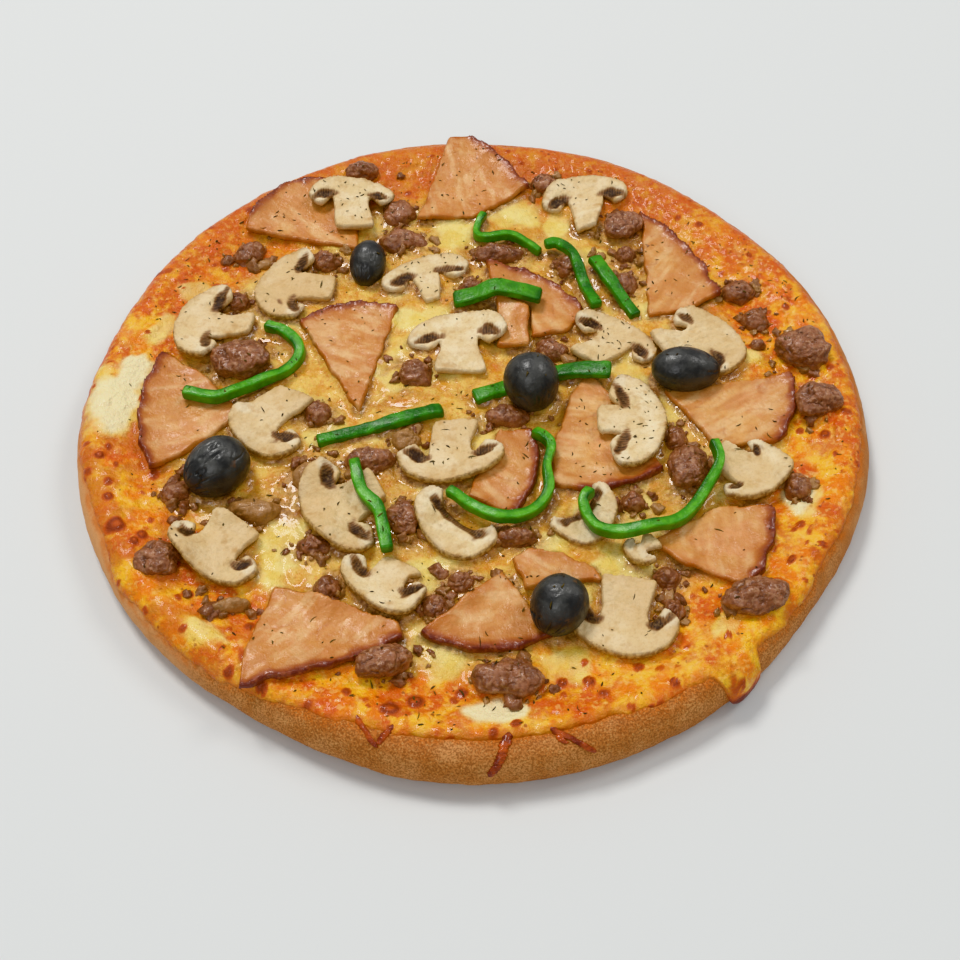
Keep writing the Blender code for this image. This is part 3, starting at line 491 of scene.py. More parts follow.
def blend(tree, share, first, second, mode="MIX"):
    """Colour between two colours by a share."""
    node = put(tree, "ShaderNodeMix", data_type="RGBA", blend_type=mode)
    for index, value in ((0, share), (6, first), (7, second)):
        if isinstance(value, bpy.types.NodeSocket):
            tree.links.new(value, node.inputs[index])
        else:
            node.inputs[index].default_value = value if index == 0 else (*value, 1.0)
    return node.outputs[2]


def sums(tree, operation, first, second=0.0, clamp=False):
    """Result of one arithmetic step."""
    return put(tree, "ShaderNodeMath", {0: first, 1: second}, operation=operation, use_clamp=clamp).outputs[0]


def times(tree, first, second):
    """Product of two values."""
    return sums(tree, "MULTIPLY", first, second)


def between(tree, value, low, high, start=0.0, end=1.0):
    """Value mapped smoothly from low..high to start..end."""
    node = put(tree, "ShaderNodeMapRange", {0: value, 1: low, 2: high, 3: start, 4: end},
               interpolation_type="SMOOTHSTEP")
    return node.outputs[0]


def mask(tree, name):
    """A vertex mask of the piece."""
    return put(tree, "ShaderNodeAttribute", attribute_name=name).outputs["Fac"]


def group_tree(name, inputs, outputs):
    """Shader node group with named float inputs and named outputs."""
    tree = bpy.data.node_groups.new(name, "ShaderNodeTree")
    for label, default in inputs:
        socket = tree.interface.new_socket(label, in_out="INPUT", socket_type="NodeSocketFloat")
        socket.default_value = default
    for label, kind in outputs:
        tree.interface.new_socket(label, in_out="OUTPUT", socket_type=kind)
    return tree, tree.nodes.new("NodeGroupInput").outputs, tree.nodes.new("NodeGroupOutput").inputs


def make_mottle():
    """Patches: noise of a grain in mm cut to a soft mask between low and high."""
    tree, given, out = group_tree("mottle", (("Grain", 5.0), ("Low", 0.45), ("High", 0.6), ("Shift", 0.0)),
                                  (("Mask", "NodeSocketFloat"),))
    place = put(tree, "ShaderNodeTexCoord").outputs["Object"]
    moved = put(tree, "ShaderNodeVectorMath", {0: place, 1: given["Shift"]}, operation="ADD").outputs[0]
    scale = sums(tree, "DIVIDE", 1000.0, given["Grain"])
    texture = put(tree, "ShaderNodeTexNoise", {"Vector": moved, "Scale": scale, "Detail": 3.0})
    tree.links.new(between(tree, texture.outputs[0], given["Low"], given["High"]), out["Mask"])
    return tree


def make_grain():
    """Fine surface: bump of two noises, of a grain in mm and a third of it."""
    tree, given, out = group_tree("grain", (("Grain", 1.0), ("Height", 0.3)),
                                  (("Normal", "NodeSocketVector"),))
    place = put(tree, "ShaderNodeTexCoord").outputs["Object"]
    scale = sums(tree, "DIVIDE", 1000.0, given["Grain"])
    coarse = put(tree, "ShaderNodeTexNoise", {"Vector": place, "Scale": scale, "Detail": 2.0}).outputs[0]
    finer = times(tree, scale, 3.1)
    fine = put(tree, "ShaderNodeTexNoise", {"Vector": place, "Scale": finer, "Detail": 2.0}).outputs[0]
    height = sums(tree, "ADD", coarse, times(tree, fine, 0.4))
    distance = times(tree, given["Height"], MM)
    bump = put(tree, "ShaderNodeBump", {"Height": height, "Distance": distance, "Strength": 1.0})
    tree.links.new(bump.outputs[0], out["Normal"])
    return tree


def make_specks():
    """Small specks with ragged edges, one in some of the cells of a grain in mm, out to a reach in cells."""
    values = (("Grain", 2.0), ("Reach", 0.25), ("Share", 0.5), ("Ragged", 0.3))
    tree, given, out = group_tree("specks", values, (("Mask", "NodeSocketFloat"),))
    place = put(tree, "ShaderNodeTexCoord").outputs["Object"]
    scale = sums(tree, "DIVIDE", 1000.0, given["Grain"])
    waver = put(tree, "ShaderNodeTexNoise", {"Vector": place, "Scale": times(tree, scale, 2.5)})
    centred = put(tree, "ShaderNodeVectorMath", {0: waver.outputs["Color"], 1: (0.5, 0.5, 0.5)},
                  operation="SUBTRACT").outputs[0]
    swing = sums(tree, "DIVIDE", given["Ragged"], scale)
    shift = put(tree, "ShaderNodeVectorMath", {0: centred, "Scale": swing}, operation="SCALE").outputs[0]
    moved = put(tree, "ShaderNodeVectorMath", {0: place, 1: shift}, operation="ADD").outputs[0]
    cells = put(tree, "ShaderNodeTexVoronoi", {"Vector": moved, "Scale": scale})
    close = between(tree, cells.outputs["Distance"], given["Reach"], times(tree, given["Reach"], 0.5))
    chance = put(tree, "ShaderNodeSeparateColor", {0: cells.outputs["Color"]}).outputs[0]
    picked = sums(tree, "LESS_THAN", chance, given["Share"])
    tree.links.new(times(tree, close, picked), out["Mask"])
    return tree


GROUPS = {"mottle": make_mottle(), "grain": make_grain(), "specks": make_specks()}


def effect(tree, name, **values):
    """A shared effect placed in a material with its own values; gives its only output."""
    node = tree.nodes.new("ShaderNodeGroup")
    node.node_tree = GROUPS[name]
    for label, value in values.items():
        node.inputs[label.capitalize()].default_value = value
    return node.outputs[0]


def mottle(tree, size, low, high, shift=0.0):
    """Mask of patches of a size in mm, cut between low and high."""
    return effect(tree, "mottle", grain=size, low=low, high=high, shift=shift)


def grain(tree, size, height):
    """Normal of a fine surface, of a size and a height in mm."""
    return effect(tree, "grain", grain=size, height=height)


def connect(tree, shader, **sockets):
    """Link outputs to the shader's inputs, named with underscores for blanks."""
    for label, value in sockets.items():
        tree.links.new(value, shader.inputs[label.replace("_", " ")])


def settle(shader, **values):
    """Set the shader's own inputs, named with underscores for blanks."""
    for label, value in values.items():
        shader.inputs[label.replace("_", " ")].default_value = value


def soften(shader, weight, reach, tint):
    """Light that enters and leaves nearby, as in food."""
    settle(shader, Subsurface_Weight=weight, Subsurface_Radius=tint, Subsurface_Scale=reach * MM)


def crust_material():
    """Baked dough: golden tan, finely speckled at the front, smooth elsewhere, orange near the cheese."""
    finish, shader = new_material("crust_dough")
    tree = finish.node_tree
    broad = mottle(tree, 9.0, 0.38, 0.66)
    colour = blend(tree, broad, paint(196, 128, 72), paint(212, 150, 94))
    colour = blend(tree, mask(tree, "browned"), colour, paint(172, 94, 40))
    colour = blend(tree, mask(tree, "pale"), colour, paint(224, 166, 112))
    patchy = mottle(tree, 4.0, 0.3, 0.6, 0.9)
    colour = blend(tree, times(tree, mask(tree, "stain"), patchy), colour, paint(208, 108, 30))
    speckled = mask(tree, "speckled")
    fine = times(tree, mottle(tree, 0.6, 0.42, 0.60, 0.3), speckled)
    colour = blend(tree, times(tree, fine, 0.6), colour, paint(124, 70, 34))
    light = times(tree, mottle(tree, 0.8, 0.54, 0.66, 0.8), speckled)
    colour = blend(tree, times(tree, light, 0.4), colour, paint(230, 178, 114))
    pores = effect(tree, "specks", grain=1.1, reach=0.2, share=0.3, ragged=0.2)
    colour = blend(tree, times(tree, pores, 0.35), colour, paint(104, 58, 28))
    connect(tree, shader, Base_Color=colour, Normal=grain(tree, 0.7, 0.25))
    settle(shader, Roughness=0.72, Specular_IOR_Level=0.35)
    return finish


def cheese_material():
    """Melted cheese: pale inside, yellow and orange at the rim, with red oil, blisters, glossy fat and
    painted shade at the back.
    """
    finish, shader = new_material("melted_cheese")
    tree = finish.node_tree
    patchy = mottle(tree, 7.0, 0.38, 0.62)
    golden = blend(tree, patchy, paint(220, 160, 62), paint(236, 196, 102))
    amber = blend(tree, patchy, paint(238, 132, 16), paint(252, 194, 54))
    colour = blend(tree, mask(tree, "rim"), golden, amber)
    grainy = mottle(tree, 3.6, 0.26, 0.58, 0.7)
    grainy = times(tree, times(tree, mask(tree, "red"), grainy), 0.85)
    colour = blend(tree, grainy, colour, paint(208, 80, 24))
    plain = sums(tree, "SUBTRACT", 1.0, times(tree, mask(tree, "pale"), 0.85))
    fine = times(tree, mottle(tree, 1.7, 0.50, 0.64, 0.7), plain)
    colour = blend(tree, times(tree, fine, 0.34), colour, paint(208, 96, 24))
    light = times(tree, mottle(tree, 1.9, 0.54, 0.64, 1.7), plain)
    colour = blend(tree, times(tree, light, 0.42), colour, paint(252, 208, 120))
    creamy = mottle(tree, 6.0, 0.4, 0.64, 2.9)
    smooth = blend(tree, creamy, paint(242, 222, 140), paint(234, 204, 104))
    colour = blend(tree, mask(tree, "pale"), colour, smooth)
    colour = blend(tree, mask(tree, "milky"), colour, paint(240, 229, 186))
    fat = mask(tree, "fat")
    colour = blend(tree, times(tree, fat, 0.6), colour, paint(186, 112, 34))
    crumbly = mottle(tree, 1.8, 0.4, 0.6, 2.3)
    pulp = blend(tree, crumbly, paint(144, 94, 56), paint(206, 158, 104))
    colour = blend(tree, mask(tree, "mush"), colour, pulp)
    # Orange-brown where the cheese thins at its edge and on the browned left rim, and painted shade on the
    # back of the rim
    colour = blend(tree, mask(tree, "fade_and_back_shade"), colour, paint(200, 102, 38))
    crisp = mask(tree, "brown")
    colour = blend(tree, between(tree, crisp, 0.08, 0.5), colour, paint(196, 88, 26))
    colour = blend(tree, between(tree, crisp, 0.42, 0.95), colour, paint(122, 46, 26))
    dots = effect(tree, "specks", grain=3.6, reach=0.22, share=0.45, ragged=0.35)
    dots = times(tree, dots, mask(tree, "spots"))
    colour = blend(tree, times(tree, dots, 0.75), colour, paint(150, 62, 28))
    wet = times(tree, sums(tree, "ADD", fat, mask(tree, "mush"), True), 0.18)
    rough = sums(tree, "SUBTRACT", between(tree, crisp, 0.0, 1.0, 0.36, 0.45), wet)
    connect(tree, shader, Base_Color=colour, Roughness=rough, Normal=grain(tree, 1.6, 0.75))
    connect(tree, shader, Coat_Weight=sums(tree, "ADD", times(tree, wet, 4.0), 0.12, True))
    settle(shader, Coat_Roughness=0.08, Specular_IOR_Level=0.4)
    soften(shader, 0.08, 2.0, (1.0, 0.6, 0.25))
    return finish


def ham_material():
    """Baked ham: peach with paler and tanner streaks, toasted at the cuts, and a bumpy red-brown rind."""
    finish, shader = new_material("baked_ham")
    tree = finish.node_tree
    fields = mottle(tree, 13.0, 0.40, 0.60)
    colour = blend(tree, fields, paint(223, 170, 104), paint(222, 160, 106))
    colour = blend(tree, mask(tree, "warm"), colour, paint(206, 138, 76))
    pale = mottle(tree, 5.0, 0.50, 0.66, 0.2)
    colour = blend(tree, times(tree, pale, 0.45), colour, paint(232, 190, 132))
    tan = mottle(tree, 8.0, 0.50, 0.66, 1.1)
    colour = blend(tree, times(tree, tan, 0.45), colour, paint(200, 130, 64))
    colour = blend(tree, mask(tree, "cream"), colour, paint(234, 196, 142))
    colour = blend(tree, mask(tree, "tan"), colour, paint(196, 126, 66))
    colour = blend(tree, mask(tree, "seam"), colour, paint(176, 98, 54))
    colour = blend(tree, mask(tree, "edge"), colour, paint(180, 100, 36))
    rind = mask(tree, "rind")
    colour = blend(tree, between(tree, rind, 0.10, 0.55), colour, paint(164, 88, 48))
    colour = blend(tree, between(tree, rind, 0.45, 0.95), colour, paint(118, 54, 40))
    glint = times(tree, mottle(tree, 2.0, 0.52, 0.66, 1.9), rind)
    colour = blend(tree, times(tree, glint, 0.6), colour, paint(164, 90, 64))
    fine = mottle(tree, 1.6, 0.48, 0.68, 0.5)
    colour = blend(tree, times(tree, fine, 0.22), colour, paint(184, 112, 54))
    rough = between(tree, mottle(tree, 3.0, 0.4, 0.6, 0.9), 0.0, 1.0, 0.28, 0.5)
    connect(tree, shader, Base_Color=colour, Roughness=rough, Normal=grain(tree, 1.3, 0.3))
    connect(tree, shader, Coat_Weight=sums(tree, "ADD", times(tree, mask(tree, "rind"), 0.25), 0.1, True))
    settle(shader, Coat_Roughness=0.12, Specular_IOR_Level=0.4)
    soften(shader, 0.05, 2.0, (1.0, 0.45, 0.3))
    return finish


def mushroom_material():
    """Baked mushroom: cream flesh, tan where dried, white at the rims, a thin skin, brown gills with painted
    shade.
    """
    finish, shader = new_material("baked_mushroom")
    tree = finish.node_tree
    broad = mottle(tree, 7.0, 0.38, 0.64)
    colour = blend(tree, broad, paint(229, 205, 157), paint(243, 226, 188))
    colour = blend(tree, mask(tree, "tone"), colour, paint(216, 182, 130))
    colour = blend(tree, mask(tree, "white"), colour, paint(238, 224, 192))
    dried = mottle(tree, 4.0, 0.52, 0.74, 0.4)
    colour = blend(tree, times(tree, dried, 0.5), colour, paint(200, 160, 104))
    colour = blend(tree, mask(tree, "dry"), colour, paint(192, 148, 88))
    colour = blend(tree, between(tree, mask(tree, "gill"), 0.03, 0.5), colour, paint(146, 104, 66))
    # The darkest gill colour is painted shade in the pockets, over the real brown of the gills
    colour = blend(tree, between(tree, mask(tree, "gill"), 0.34, 0.95), colour, paint(62, 40, 26))
    rind = mottle(tree, 1.6, 0.42, 0.6, 1.2)
    skin = blend(tree, rind, paint(146, 102, 54), paint(208, 172, 110))
    colour = blend(tree, mask(tree, "skin"), colour, skin)
    fine = mottle(tree, 1.1, 0.5, 0.7, 0.1)
    colour = blend(tree, times(tree, fine, 0.25), colour, paint(190, 152, 100))
    connect(tree, shader, Base_Color=colour, Normal=grain(tree, 1.2, 0.35))
    settle(shader, Roughness=0.52, Specular_IOR_Level=0.4)
    soften(shader, 0.06, 2.0, (1.0, 0.75, 0.5))
    return finish


def pepper_material():
    """Green pepper: dark green skin, lighter green flesh on the cut faces, glossy."""
    finish, shader = new_material("green_pepper")
    tree = finish.node_tree
    skin = blend(tree, mottle(tree, 6.0, 0.36, 0.66), paint(26, 98, 8), paint(58, 142, 18))
    flesh = blend(tree, mottle(tree, 3.6, 0.36, 0.66), paint(66, 148, 24), paint(96, 174, 42))
    # The flesh mask also holds painted light: lighter green patches on the tops of strips lying skin up
    colour = blend(tree, mask(tree, "flesh"), skin, flesh)
    colour = blend(tree, mask(tree, "char"), colour, paint(40, 64, 14))
    connect(tree, shader, Base_Color=colour, Normal=grain(tree, 1.6, 0.4))
    settle(shader, Roughness=0.38, Coat_Weight=0.12, Coat_Roughness=0.15)
    return finish


def olive_material():
    """Black olive: grey-black skin with a broad soft shine, brown where it dried, with tiny pale dots."""
    finish, shader = new_material("black_olive")
    tree = finish.node_tree
    colour = blend(tree, mottle(tree, 6.0, 0.4, 0.62), paint(46, 46, 45), paint(72, 72, 69))
    colour = blend(tree, mask(tree, "dry"), colour, paint(112, 76, 44))
    dots = effect(tree, "specks", grain=2.2, reach=0.1, share=0.3, ragged=0.0)
    colour = blend(tree, times(tree, dots, 0.5), colour, paint(112, 114, 114))
    rough = between(tree, mottle(tree, 2.5, 0.4, 0.6), 0.0, 1.0, 0.38, 0.54)
    connect(tree, shader, Base_Color=colour, Roughness=rough, Normal=grain(tree, 1.6, 0.2))
    settle(shader, Specular_IOR_Level=0.7, Coat_Weight=0.15, Coat_Roughness=0.12)
    return finish


def meat_material():
    """Cooked crumbled meat: warm mauve-brown, painted darker in the hollows as shade, wet with fat."""
    finish, shader = new_material("cooked_meat")
    tree = finish.node_tree
    colour = blend(tree, mottle(tree, 4.0, 0.38, 0.62), paint(134, 83, 54), paint(162, 107, 76))
    light = mottle(tree, 1.7, 0.48, 0.64, 0.6)
    colour = blend(tree, times(tree, light, 0.55), colour, paint(190, 142, 106))
    dark = mottle(tree, 1.2, 0.52, 0.66, 1.6)
    colour = blend(tree, times(tree, dark, 0.45), colour, paint(100, 56, 38))
    # Painted shade in the crevices and dips of the meat
    colour = blend(tree, mask(tree, "shaded_hollow"), colour, paint(84, 46, 30))
    colour = blend(tree, mask(tree, "greasy"), colour, paint(178, 134, 84))
    rough = between(tree, mottle(tree, 2.0, 0.4, 0.6, 0.3), 0.0, 1.0, 0.24, 0.5)
    connect(tree, shader, Base_Color=colour, Roughness=rough, Normal=grain(tree, 1.1, 0.35))
    settle(shader, Coat_Weight=0.2, Coat_Roughness=0.1)
    return finish


def herb_material():
    """Dried herb: dark green-brown, matt."""
    finish, shader = new_material("dried_herb")
    tree = finish.node_tree
    colour = blend(tree, mottle(tree, 5.0, 0.4, 0.6), paint(62, 46, 24), paint(104, 88, 40))
    connect(tree, shader, Base_Color=colour, Normal=grain(tree, 0.5, 0.1))
    settle(shader, Roughness=0.6)
    return finish


# Dough and cheese

dense_profile = smooth_line(CRUST_PROFILE, 0.4)
profile_length = np.concatenate([[0.0], np.cumsum(np.linalg.norm(np.diff(dense_profile, axis=0), axis=1))])


def profile_point(length):
    """Inset and height of the crust's profile at a length along it."""
    return [np.interp(length, profile_length, dense_profile[:, axis]) for axis in (0, 1)]


def profile_at(length):
    """Inset, height and outward normal (radial, vertical) of the crust's profile at a length along it."""
    inset, height = profile_point(length)
    ahead = profile_point(np.minimum(length + 0.8, profile_length[-1]))
    behind = profile_point(np.maximum(length - 0.8, 0.0))
    along, up = behind[0] - ahead[0], ahead[1] - behind[1]
    size = np.maximum(np.hypot(along, up), 1e-9)
    return inset, height, (-up / size, along / size)


def outline_radius(angle):
    """Radius of the pizza's outline: a circle with a few low waves."""
    return RADIUS + sum(h * np.cos(n * angle + math.radians(p)) for n, h, p in OUTLINE_WAVES)


def edge_reach(angle):
    """Length of the cheese past the start of the rim, what its runs add, and its edge's thickness."""
    circle = np.stack([np.cos(angle), np.sin(angle)], -1)
    reach = np.interp(np.degrees(angle), *np.array(REACHES, float).T)
    reach = reach + 0.2 * reach * layered_noise(circle * RADIUS, 9.0, 41, 3)
    reach = reach + 0.7 * layered_noise(circle * RADIUS, 3.0, 43, 2)
    thickness = 0.45 + 0.2 * smooth_noise(circle * RADIUS, 12.0, 42)
    degrees = np.degrees(angle)
    extra = 0.0
    for middle, half, length, thick in RUNS:
        share = np.exp(-((degrees - middle) / half) ** 6)
        extra = extra + np.maximum(length - reach, 0.0) * share
        thickness = thickness + (thick - thickness) * share
    return np.maximum(reach, 0.8), extra, thickness


def make_crust(finish):
    """Dough: rows from the middle of the underside to the foot, then along the profile over the rim inwards.

    Each point of the side is moved along the profile's normal by layered noise.
    """
    columns = CRUST_COLUMNS
    angle = np.linspace(-math.pi, math.pi, columns, endpoint=False)
    outline = outline_radius(angle)
    foot = outline - CRUST_PROFILE[-1][0]
    rows = []
    for share in (0.12, 0.3, 0.5, 0.7, 0.85, 0.95, 0.99):
        rows.append(np.stack([foot * share * np.cos(angle), foot * share * np.sin(angle), 0.0 * angle], -1))
    lengths = np.concatenate([np.linspace(profile_length[-1], 17.0, 56), [12.0, 6.0, 0.0]])
    reach, extra, _ = edge_reach(angle)
    past = [np.full(columns, 20.0)] * len(rows)
    for length in lengths:
        past.append(length - RIM_LENGTH - reach - extra)
        inset, height, (out, up) = profile_at(np.full(columns, length))
        flat = np.stack([np.cos(angle), np.sin(angle)], -1)
        place = np.column_stack([flat * (outline - inset)[:, None], height])
        rise = 0.45 * layered_noise(place, 14.0, 7, 3) + 0.16 * layered_noise(place, 3.0, 8, 2)
        pits = step(scattered_cells(place, 5.0, 9)[0], 0.0, 0.22)
        rise = (rise - 0.3 * (1 - pits)) * step(height, 0.0, 2.5) * (0.12 + 0.88 * step(past[-1], -0.5, 2.5))
        radius = outline - inset + out * rise
        rows.append(np.column_stack([flat * radius[:, None], np.maximum(height + up * rise, 0.0)]))
    points = np.concatenate(rows)
    count = len(points)
    points = np.vstack([points, (0.0, 0.0, 0.0), (0.0, 0.0, CRUST_PROFILE[0][1])])
    ring = np.arange(columns)
    faces = [grid_faces(len(rows), columns, True), fan_faces(ring, count, True),
             fan_faces(ring + count - columns, count + 1)]
    radius, height = np.hypot(points[:, 0], points[:, 1]), points[:, 2]
    inset = outline_radius(np.arctan2(points[:, 1], points[:, 0])) - radius
    patches = layered_noise(points, 10.0, 5, 3)
    near_cheese = step(height, 12.5, 16.0)
    foot_zone = step(inset, 1.5, 4.5) * (height < 5)
    underside = step(layered_noise(points, 16.0, 6, 3), -0.1, 0.5) * (height < 0.5)
    browned = np.clip(near_cheese * (0.35 + 0.5 * patches) + 0.35 * foot_zone + 0.6 * underside, 0, 1)
    facing = -points[:, 1] / RADIUS
    speckled = 0.35 + 0.65 * step(facing + 0.3 * patches, 0.35, 0.8)
    pale = step(patches - 0.4 * facing, 0.1, 0.7) * step(height, 3.0, 6.0) * (1 - near_cheese) * 0.6
    turn = np.arctan2(points[:, 1], points[:, 0])
    smooth_left = step(np.cos(turn + math.radians(152.0)) + 0.06 * patches, 0.86, 0.98)
    smooth_left = smooth_left * step(height, 0.5, 3.0)
    pale = np.maximum(pale, 0.85 * smooth_left)
    speckled = speckled * (1 - 0.75 * smooth_left)
    past = np.append(np.concatenate(past), (20.0, -20.0))
    stain = (1 - step(past + 1.6 * layered_noise(points, 5.0, 10, 3), 0.3, 3.2)) * 0.6
    return add_piece("crust_dough", points, faces, finish, ("crust",),
                     {"browned": browned, "pale": pale, "speckled": speckled, "stain": stain})


# Where smooth pale cheese lies: place, half length, half width, direction
PALE_FIELDS = ((-135, 5, 22, 12, 80), (-124, 39, 9, 5, 60), (-5, 95, 12, 8, 85), (22, 107, 12, 10, 0),
               (39, 99, 11, 6, 80), (54, 78, 8, 6, 0), (-25, 44, 8, 6, 0), (-57, -12, 11, 8, 80),
               (-67, -67, 16, 11, 80), (-14, -79, 10, 7, 0), (52, -79, 12, 10, 20), (120, -51, 10, 7, 70),
               (6, -134, 10, 6, 0), (29, -117, 10, 7, 20), (-11, -114, 10, 8, 60), (-92, -104, 10, 6, -30),
               (-46, 20, 8, 6, 60), (-38, 100, 8, 6, 0), (24, -68, 8, 5, 0), (108, 20, 6, 5, 0),
               (70, -62, 8, 6, 0), (-112, 60, 7, 6, 30), (86, -104, 8, 5, 30))


# Where the pale cheese is nearly white
MILKY_FIELDS = ((-135, 7, 19, 9, 80), (6, -134, 9, 5, 0), (118, -50, 9, 5, 70))


# The largest brown blisters on the rim: place and radius
BLISTERS = ((-129, -59, 3.6), (-121, -66, 2.2), (-118, -62, 2.4), (-140, -27, 1.6), (-134, -46, 1.8),
            (-99, -87, 2.0), (132, -23, 2.0), (111, -80, 1.8), (123, -74, 1.6), (69, -134, 2.2),
            (57, -137, 1.8), (65, -128, 1.8), (-28, -133, 3.2), (-20, -129, 3.0), (20, -124, 2.2),
            (28, -123, 2.2), (37, -123, 2.2))


def field_mask(points, fields, seed):
    """Soft ellipses with ragged edges, 1 inside."""
    ragged = 0.5 * layered_noise(points, 7.0, seed, 3)
    total = np.zeros(len(points))
    for x, y, half_length, half_width, turn in fields:
        local = turned(points - (x, y), -turn) / (half_length, half_width)
        total = np.maximum(total, step(1.25 - np.linalg.norm(local, axis=1) + ragged, 0.1, 0.5))
    return total


def chunk_share(points, chunks, spread):
    """How near each point is to the nearest chunk of meat: 1 inside, falling off over a share of its size."""
    total = np.zeros(len(points))
    for chunk in chunks:
        local = turned(points - (chunk.x, chunk.y), -chunk.turn) / (chunk.width * 0.5, chunk.depth * 0.5)
        past = np.maximum(np.linalg.norm(local, axis=1) - 0.8, 0.0)
        total = np.maximum(total, np.exp(-(past / spread) ** 2))
    return total


def make_cheese(finish, footprint):
    """Cheese: a square grid mapped onto a disc, its outer rows following the crust's profile over the rim.

    Height over the dough is the layer's depth plus melted blobs that meet in
    creases, bubbles, blisters on the rim, folds in the run at the front and a rise
    towards the toppings. Its noise is read on the surface rolled out flat. It thins
    out to the crust at its edge and is closed underneath along the dough.
    """
    cells = CHEESE_CELLS
    a, b = np.meshgrid(np.linspace(-1, 1, cells + 1), np.linspace(-1, 1, cells + 1))
    wide = np.abs(a) > np.abs(b)
    main = np.where(wide, a, b)
    other = np.where(wide, b, a)
    turn = math.pi / 4 * other / np.where(main == 0, 1.0, main)
    x = np.where(wide, main * np.cos(turn), main * np.sin(turn)).ravel()
    y = np.where(wide, main * np.sin(turn), main * np.cos(turn)).ravel()
    share, angle = np.hypot(x, y), np.arctan2(y, x)
    outline = outline_radius(angle)
    reach, extra, edge_thickness = edge_reach(angle)
    floor = outline - FLOOR_INSET
    total = RIM_LENGTH + reach + extra
    along = share * (floor + RIM_LENGTH + reach) - floor + extra * step(share, 0.86, 1.0)
    inset, height, (out, up) = profile_at(np.clip(along, 0.0, None))
    radius = np.where(along > 0, outline - inset, floor + along)
    flat = np.stack([np.cos(angle), np.sin(angle)], -1) * (floor + along)[:, None]

    known, depths = np.array(CHEESE_DEPTH).T
    depth = np.interp(along, known, depths)
    thinned = RIM_LENGTH + np.maximum(reach, 5.0)
    depth = depth + (edge_thickness - depth) * step(along, RIM_LENGTH - 1.0, thinned)
    left = total - along
    rounded = np.sqrt(np.clip(1 - (1 - np.clip(left / 1.4, 0, 1)) ** 2, 0, 1))

    ragged = 8.0 * layered_noise(flat, 22.0, 21, 3)
    rim = step(radius + ragged, 106.0, 122.0)
    warp = np.stack([layered_noise(flat, 10.0, 61, 2), layered_noise(flat, 10.0, 62, 2)], -1)
    waver = np.stack([smooth_noise(flat, 3.0, 63), smooth_noise(flat, 3.0, 64)], -1)
    near, second, _ = scattered_cells(flat + 4.5 * warp, 15.0, 31)
    blobs = step(second - near, 0.0, 0.6)
    small_near, small_second, _ = scattered_cells(flat + 2.0 * warp + 0.5 * waver, 5.2, 32)
    bubbles = step(small_second - small_near, 0.0, 0.6)
    spot_near, _, spot_value = scattered_cells(flat + 0.5 * waver, 11.5, 33)
    size = 0.07 + 0.15 * spot_value ** 2
    blister = (1 - step(spot_near, size * 0.4, size * 1.2)) * (spot_value > 0.3) * rim
    ring = blister * step(spot_near, size * 0.25, size * 0.8)
    swollen, scorched = np.zeros(len(flat)), np.zeros(len(flat))
    for x, y, size in BLISTERS:
        away = np.linalg.norm(flat + 0.5 * waver - (x, y), axis=1) / size
        swollen = np.maximum(swollen, 1 - step(away, 0.3, 1.15))
        crisp_ring = 0.7 * np.exp(-((away - 0.75) / 0.4) ** 2)
        scorched = np.maximum(scorched, crisp_ring + 0.4 * (1 - step(away, 0.3, 0.9)))
    grainy = layered_noise(flat, 3.0, 34, 2)
    mush = chunk_share(flat, MEAT + CRUMBS, 0.95) * step(layered_noise(flat, 10.0, 35, 3), -0.45, 0.1)
    beside = sample(footprint, (-TOPS_HALF, -TOPS_HALF), TOPS_PITCH, flat[:, 0], flat[:, 1])
    smeared = step(beside, 0.02, 0.4) * step(layered_noise(flat, 12.0, 36, 3), -0.3, 0.12)
    pulp = np.maximum(mush, smeared) * (1 - rim)
    pale = field_mask(flat, PALE_FIELDS, 53)
    pale = np.maximum(pale, 0.8 * step(layered_noise(flat, 15.0, 58, 3), 0.22, 0.45) * (1 - 0.75 * rim))
    pale = pale * (1 - 0.8 * mush)
    rise = 0.5 * layered_noise(flat, 18.0, 3, 3) + (0.8 * blobs - 0.4) * (1 - 0.45 * rim)
    rise = rise + (0.40 * bubbles - 0.2) * (0.35 + 0.65 * rim) * (1 - 0.95 * pale)
    rise = rise + 0.7 * blister - 0.3 * ring
    rise = rise + 0.8 * swollen
    rise = rise + 0.22 * grainy * (1 - 0.7 * pale) + 0.35 * pale
    rise = rise + (0.5 * mush + 0.85 * pulp * layered_noise(flat, 2.2, 37, 2)) * (1 - rim)
    rise = rise + 1.3 * step(beside, 0.05, 0.6)
    rise = rise * (1 - 0.8 * step(along, RIM_LENGTH, thinned))
    side_away = (np.degrees(angle) - RUNS[0][0]) / RUNS[0][1]
    tongue = np.exp(-side_away ** 4) * step(along, RIM_LENGTH + 4.0, RIM_LENGTH + 9.0)
    folds = np.cos(3.2 * side_away + 1.5 * layered_noise(flat, 6.0, 38, 2))
    folds = folds + 0.8 * layered_noise(flat, 3.0, 39, 2)
    rise = rise + 0.4 * tongue * folds

    offset = (depth + rise) * rounded - 0.5 * (1 - rounded)
    lean = step(along, RIM_LENGTH - 3.0, RIM_LENGTH + 3.0)
    out, up = out * lean, 1.0 + (up - 1.0) * lean
    radius = radius + out * offset
    level = np.where(along > 0, height, CRUST_PROFILE[0][1]) + up * offset
    points = np.column_stack([np.cos(angle) * radius, np.sin(angle) * radius, np.maximum(level, 0.3)])

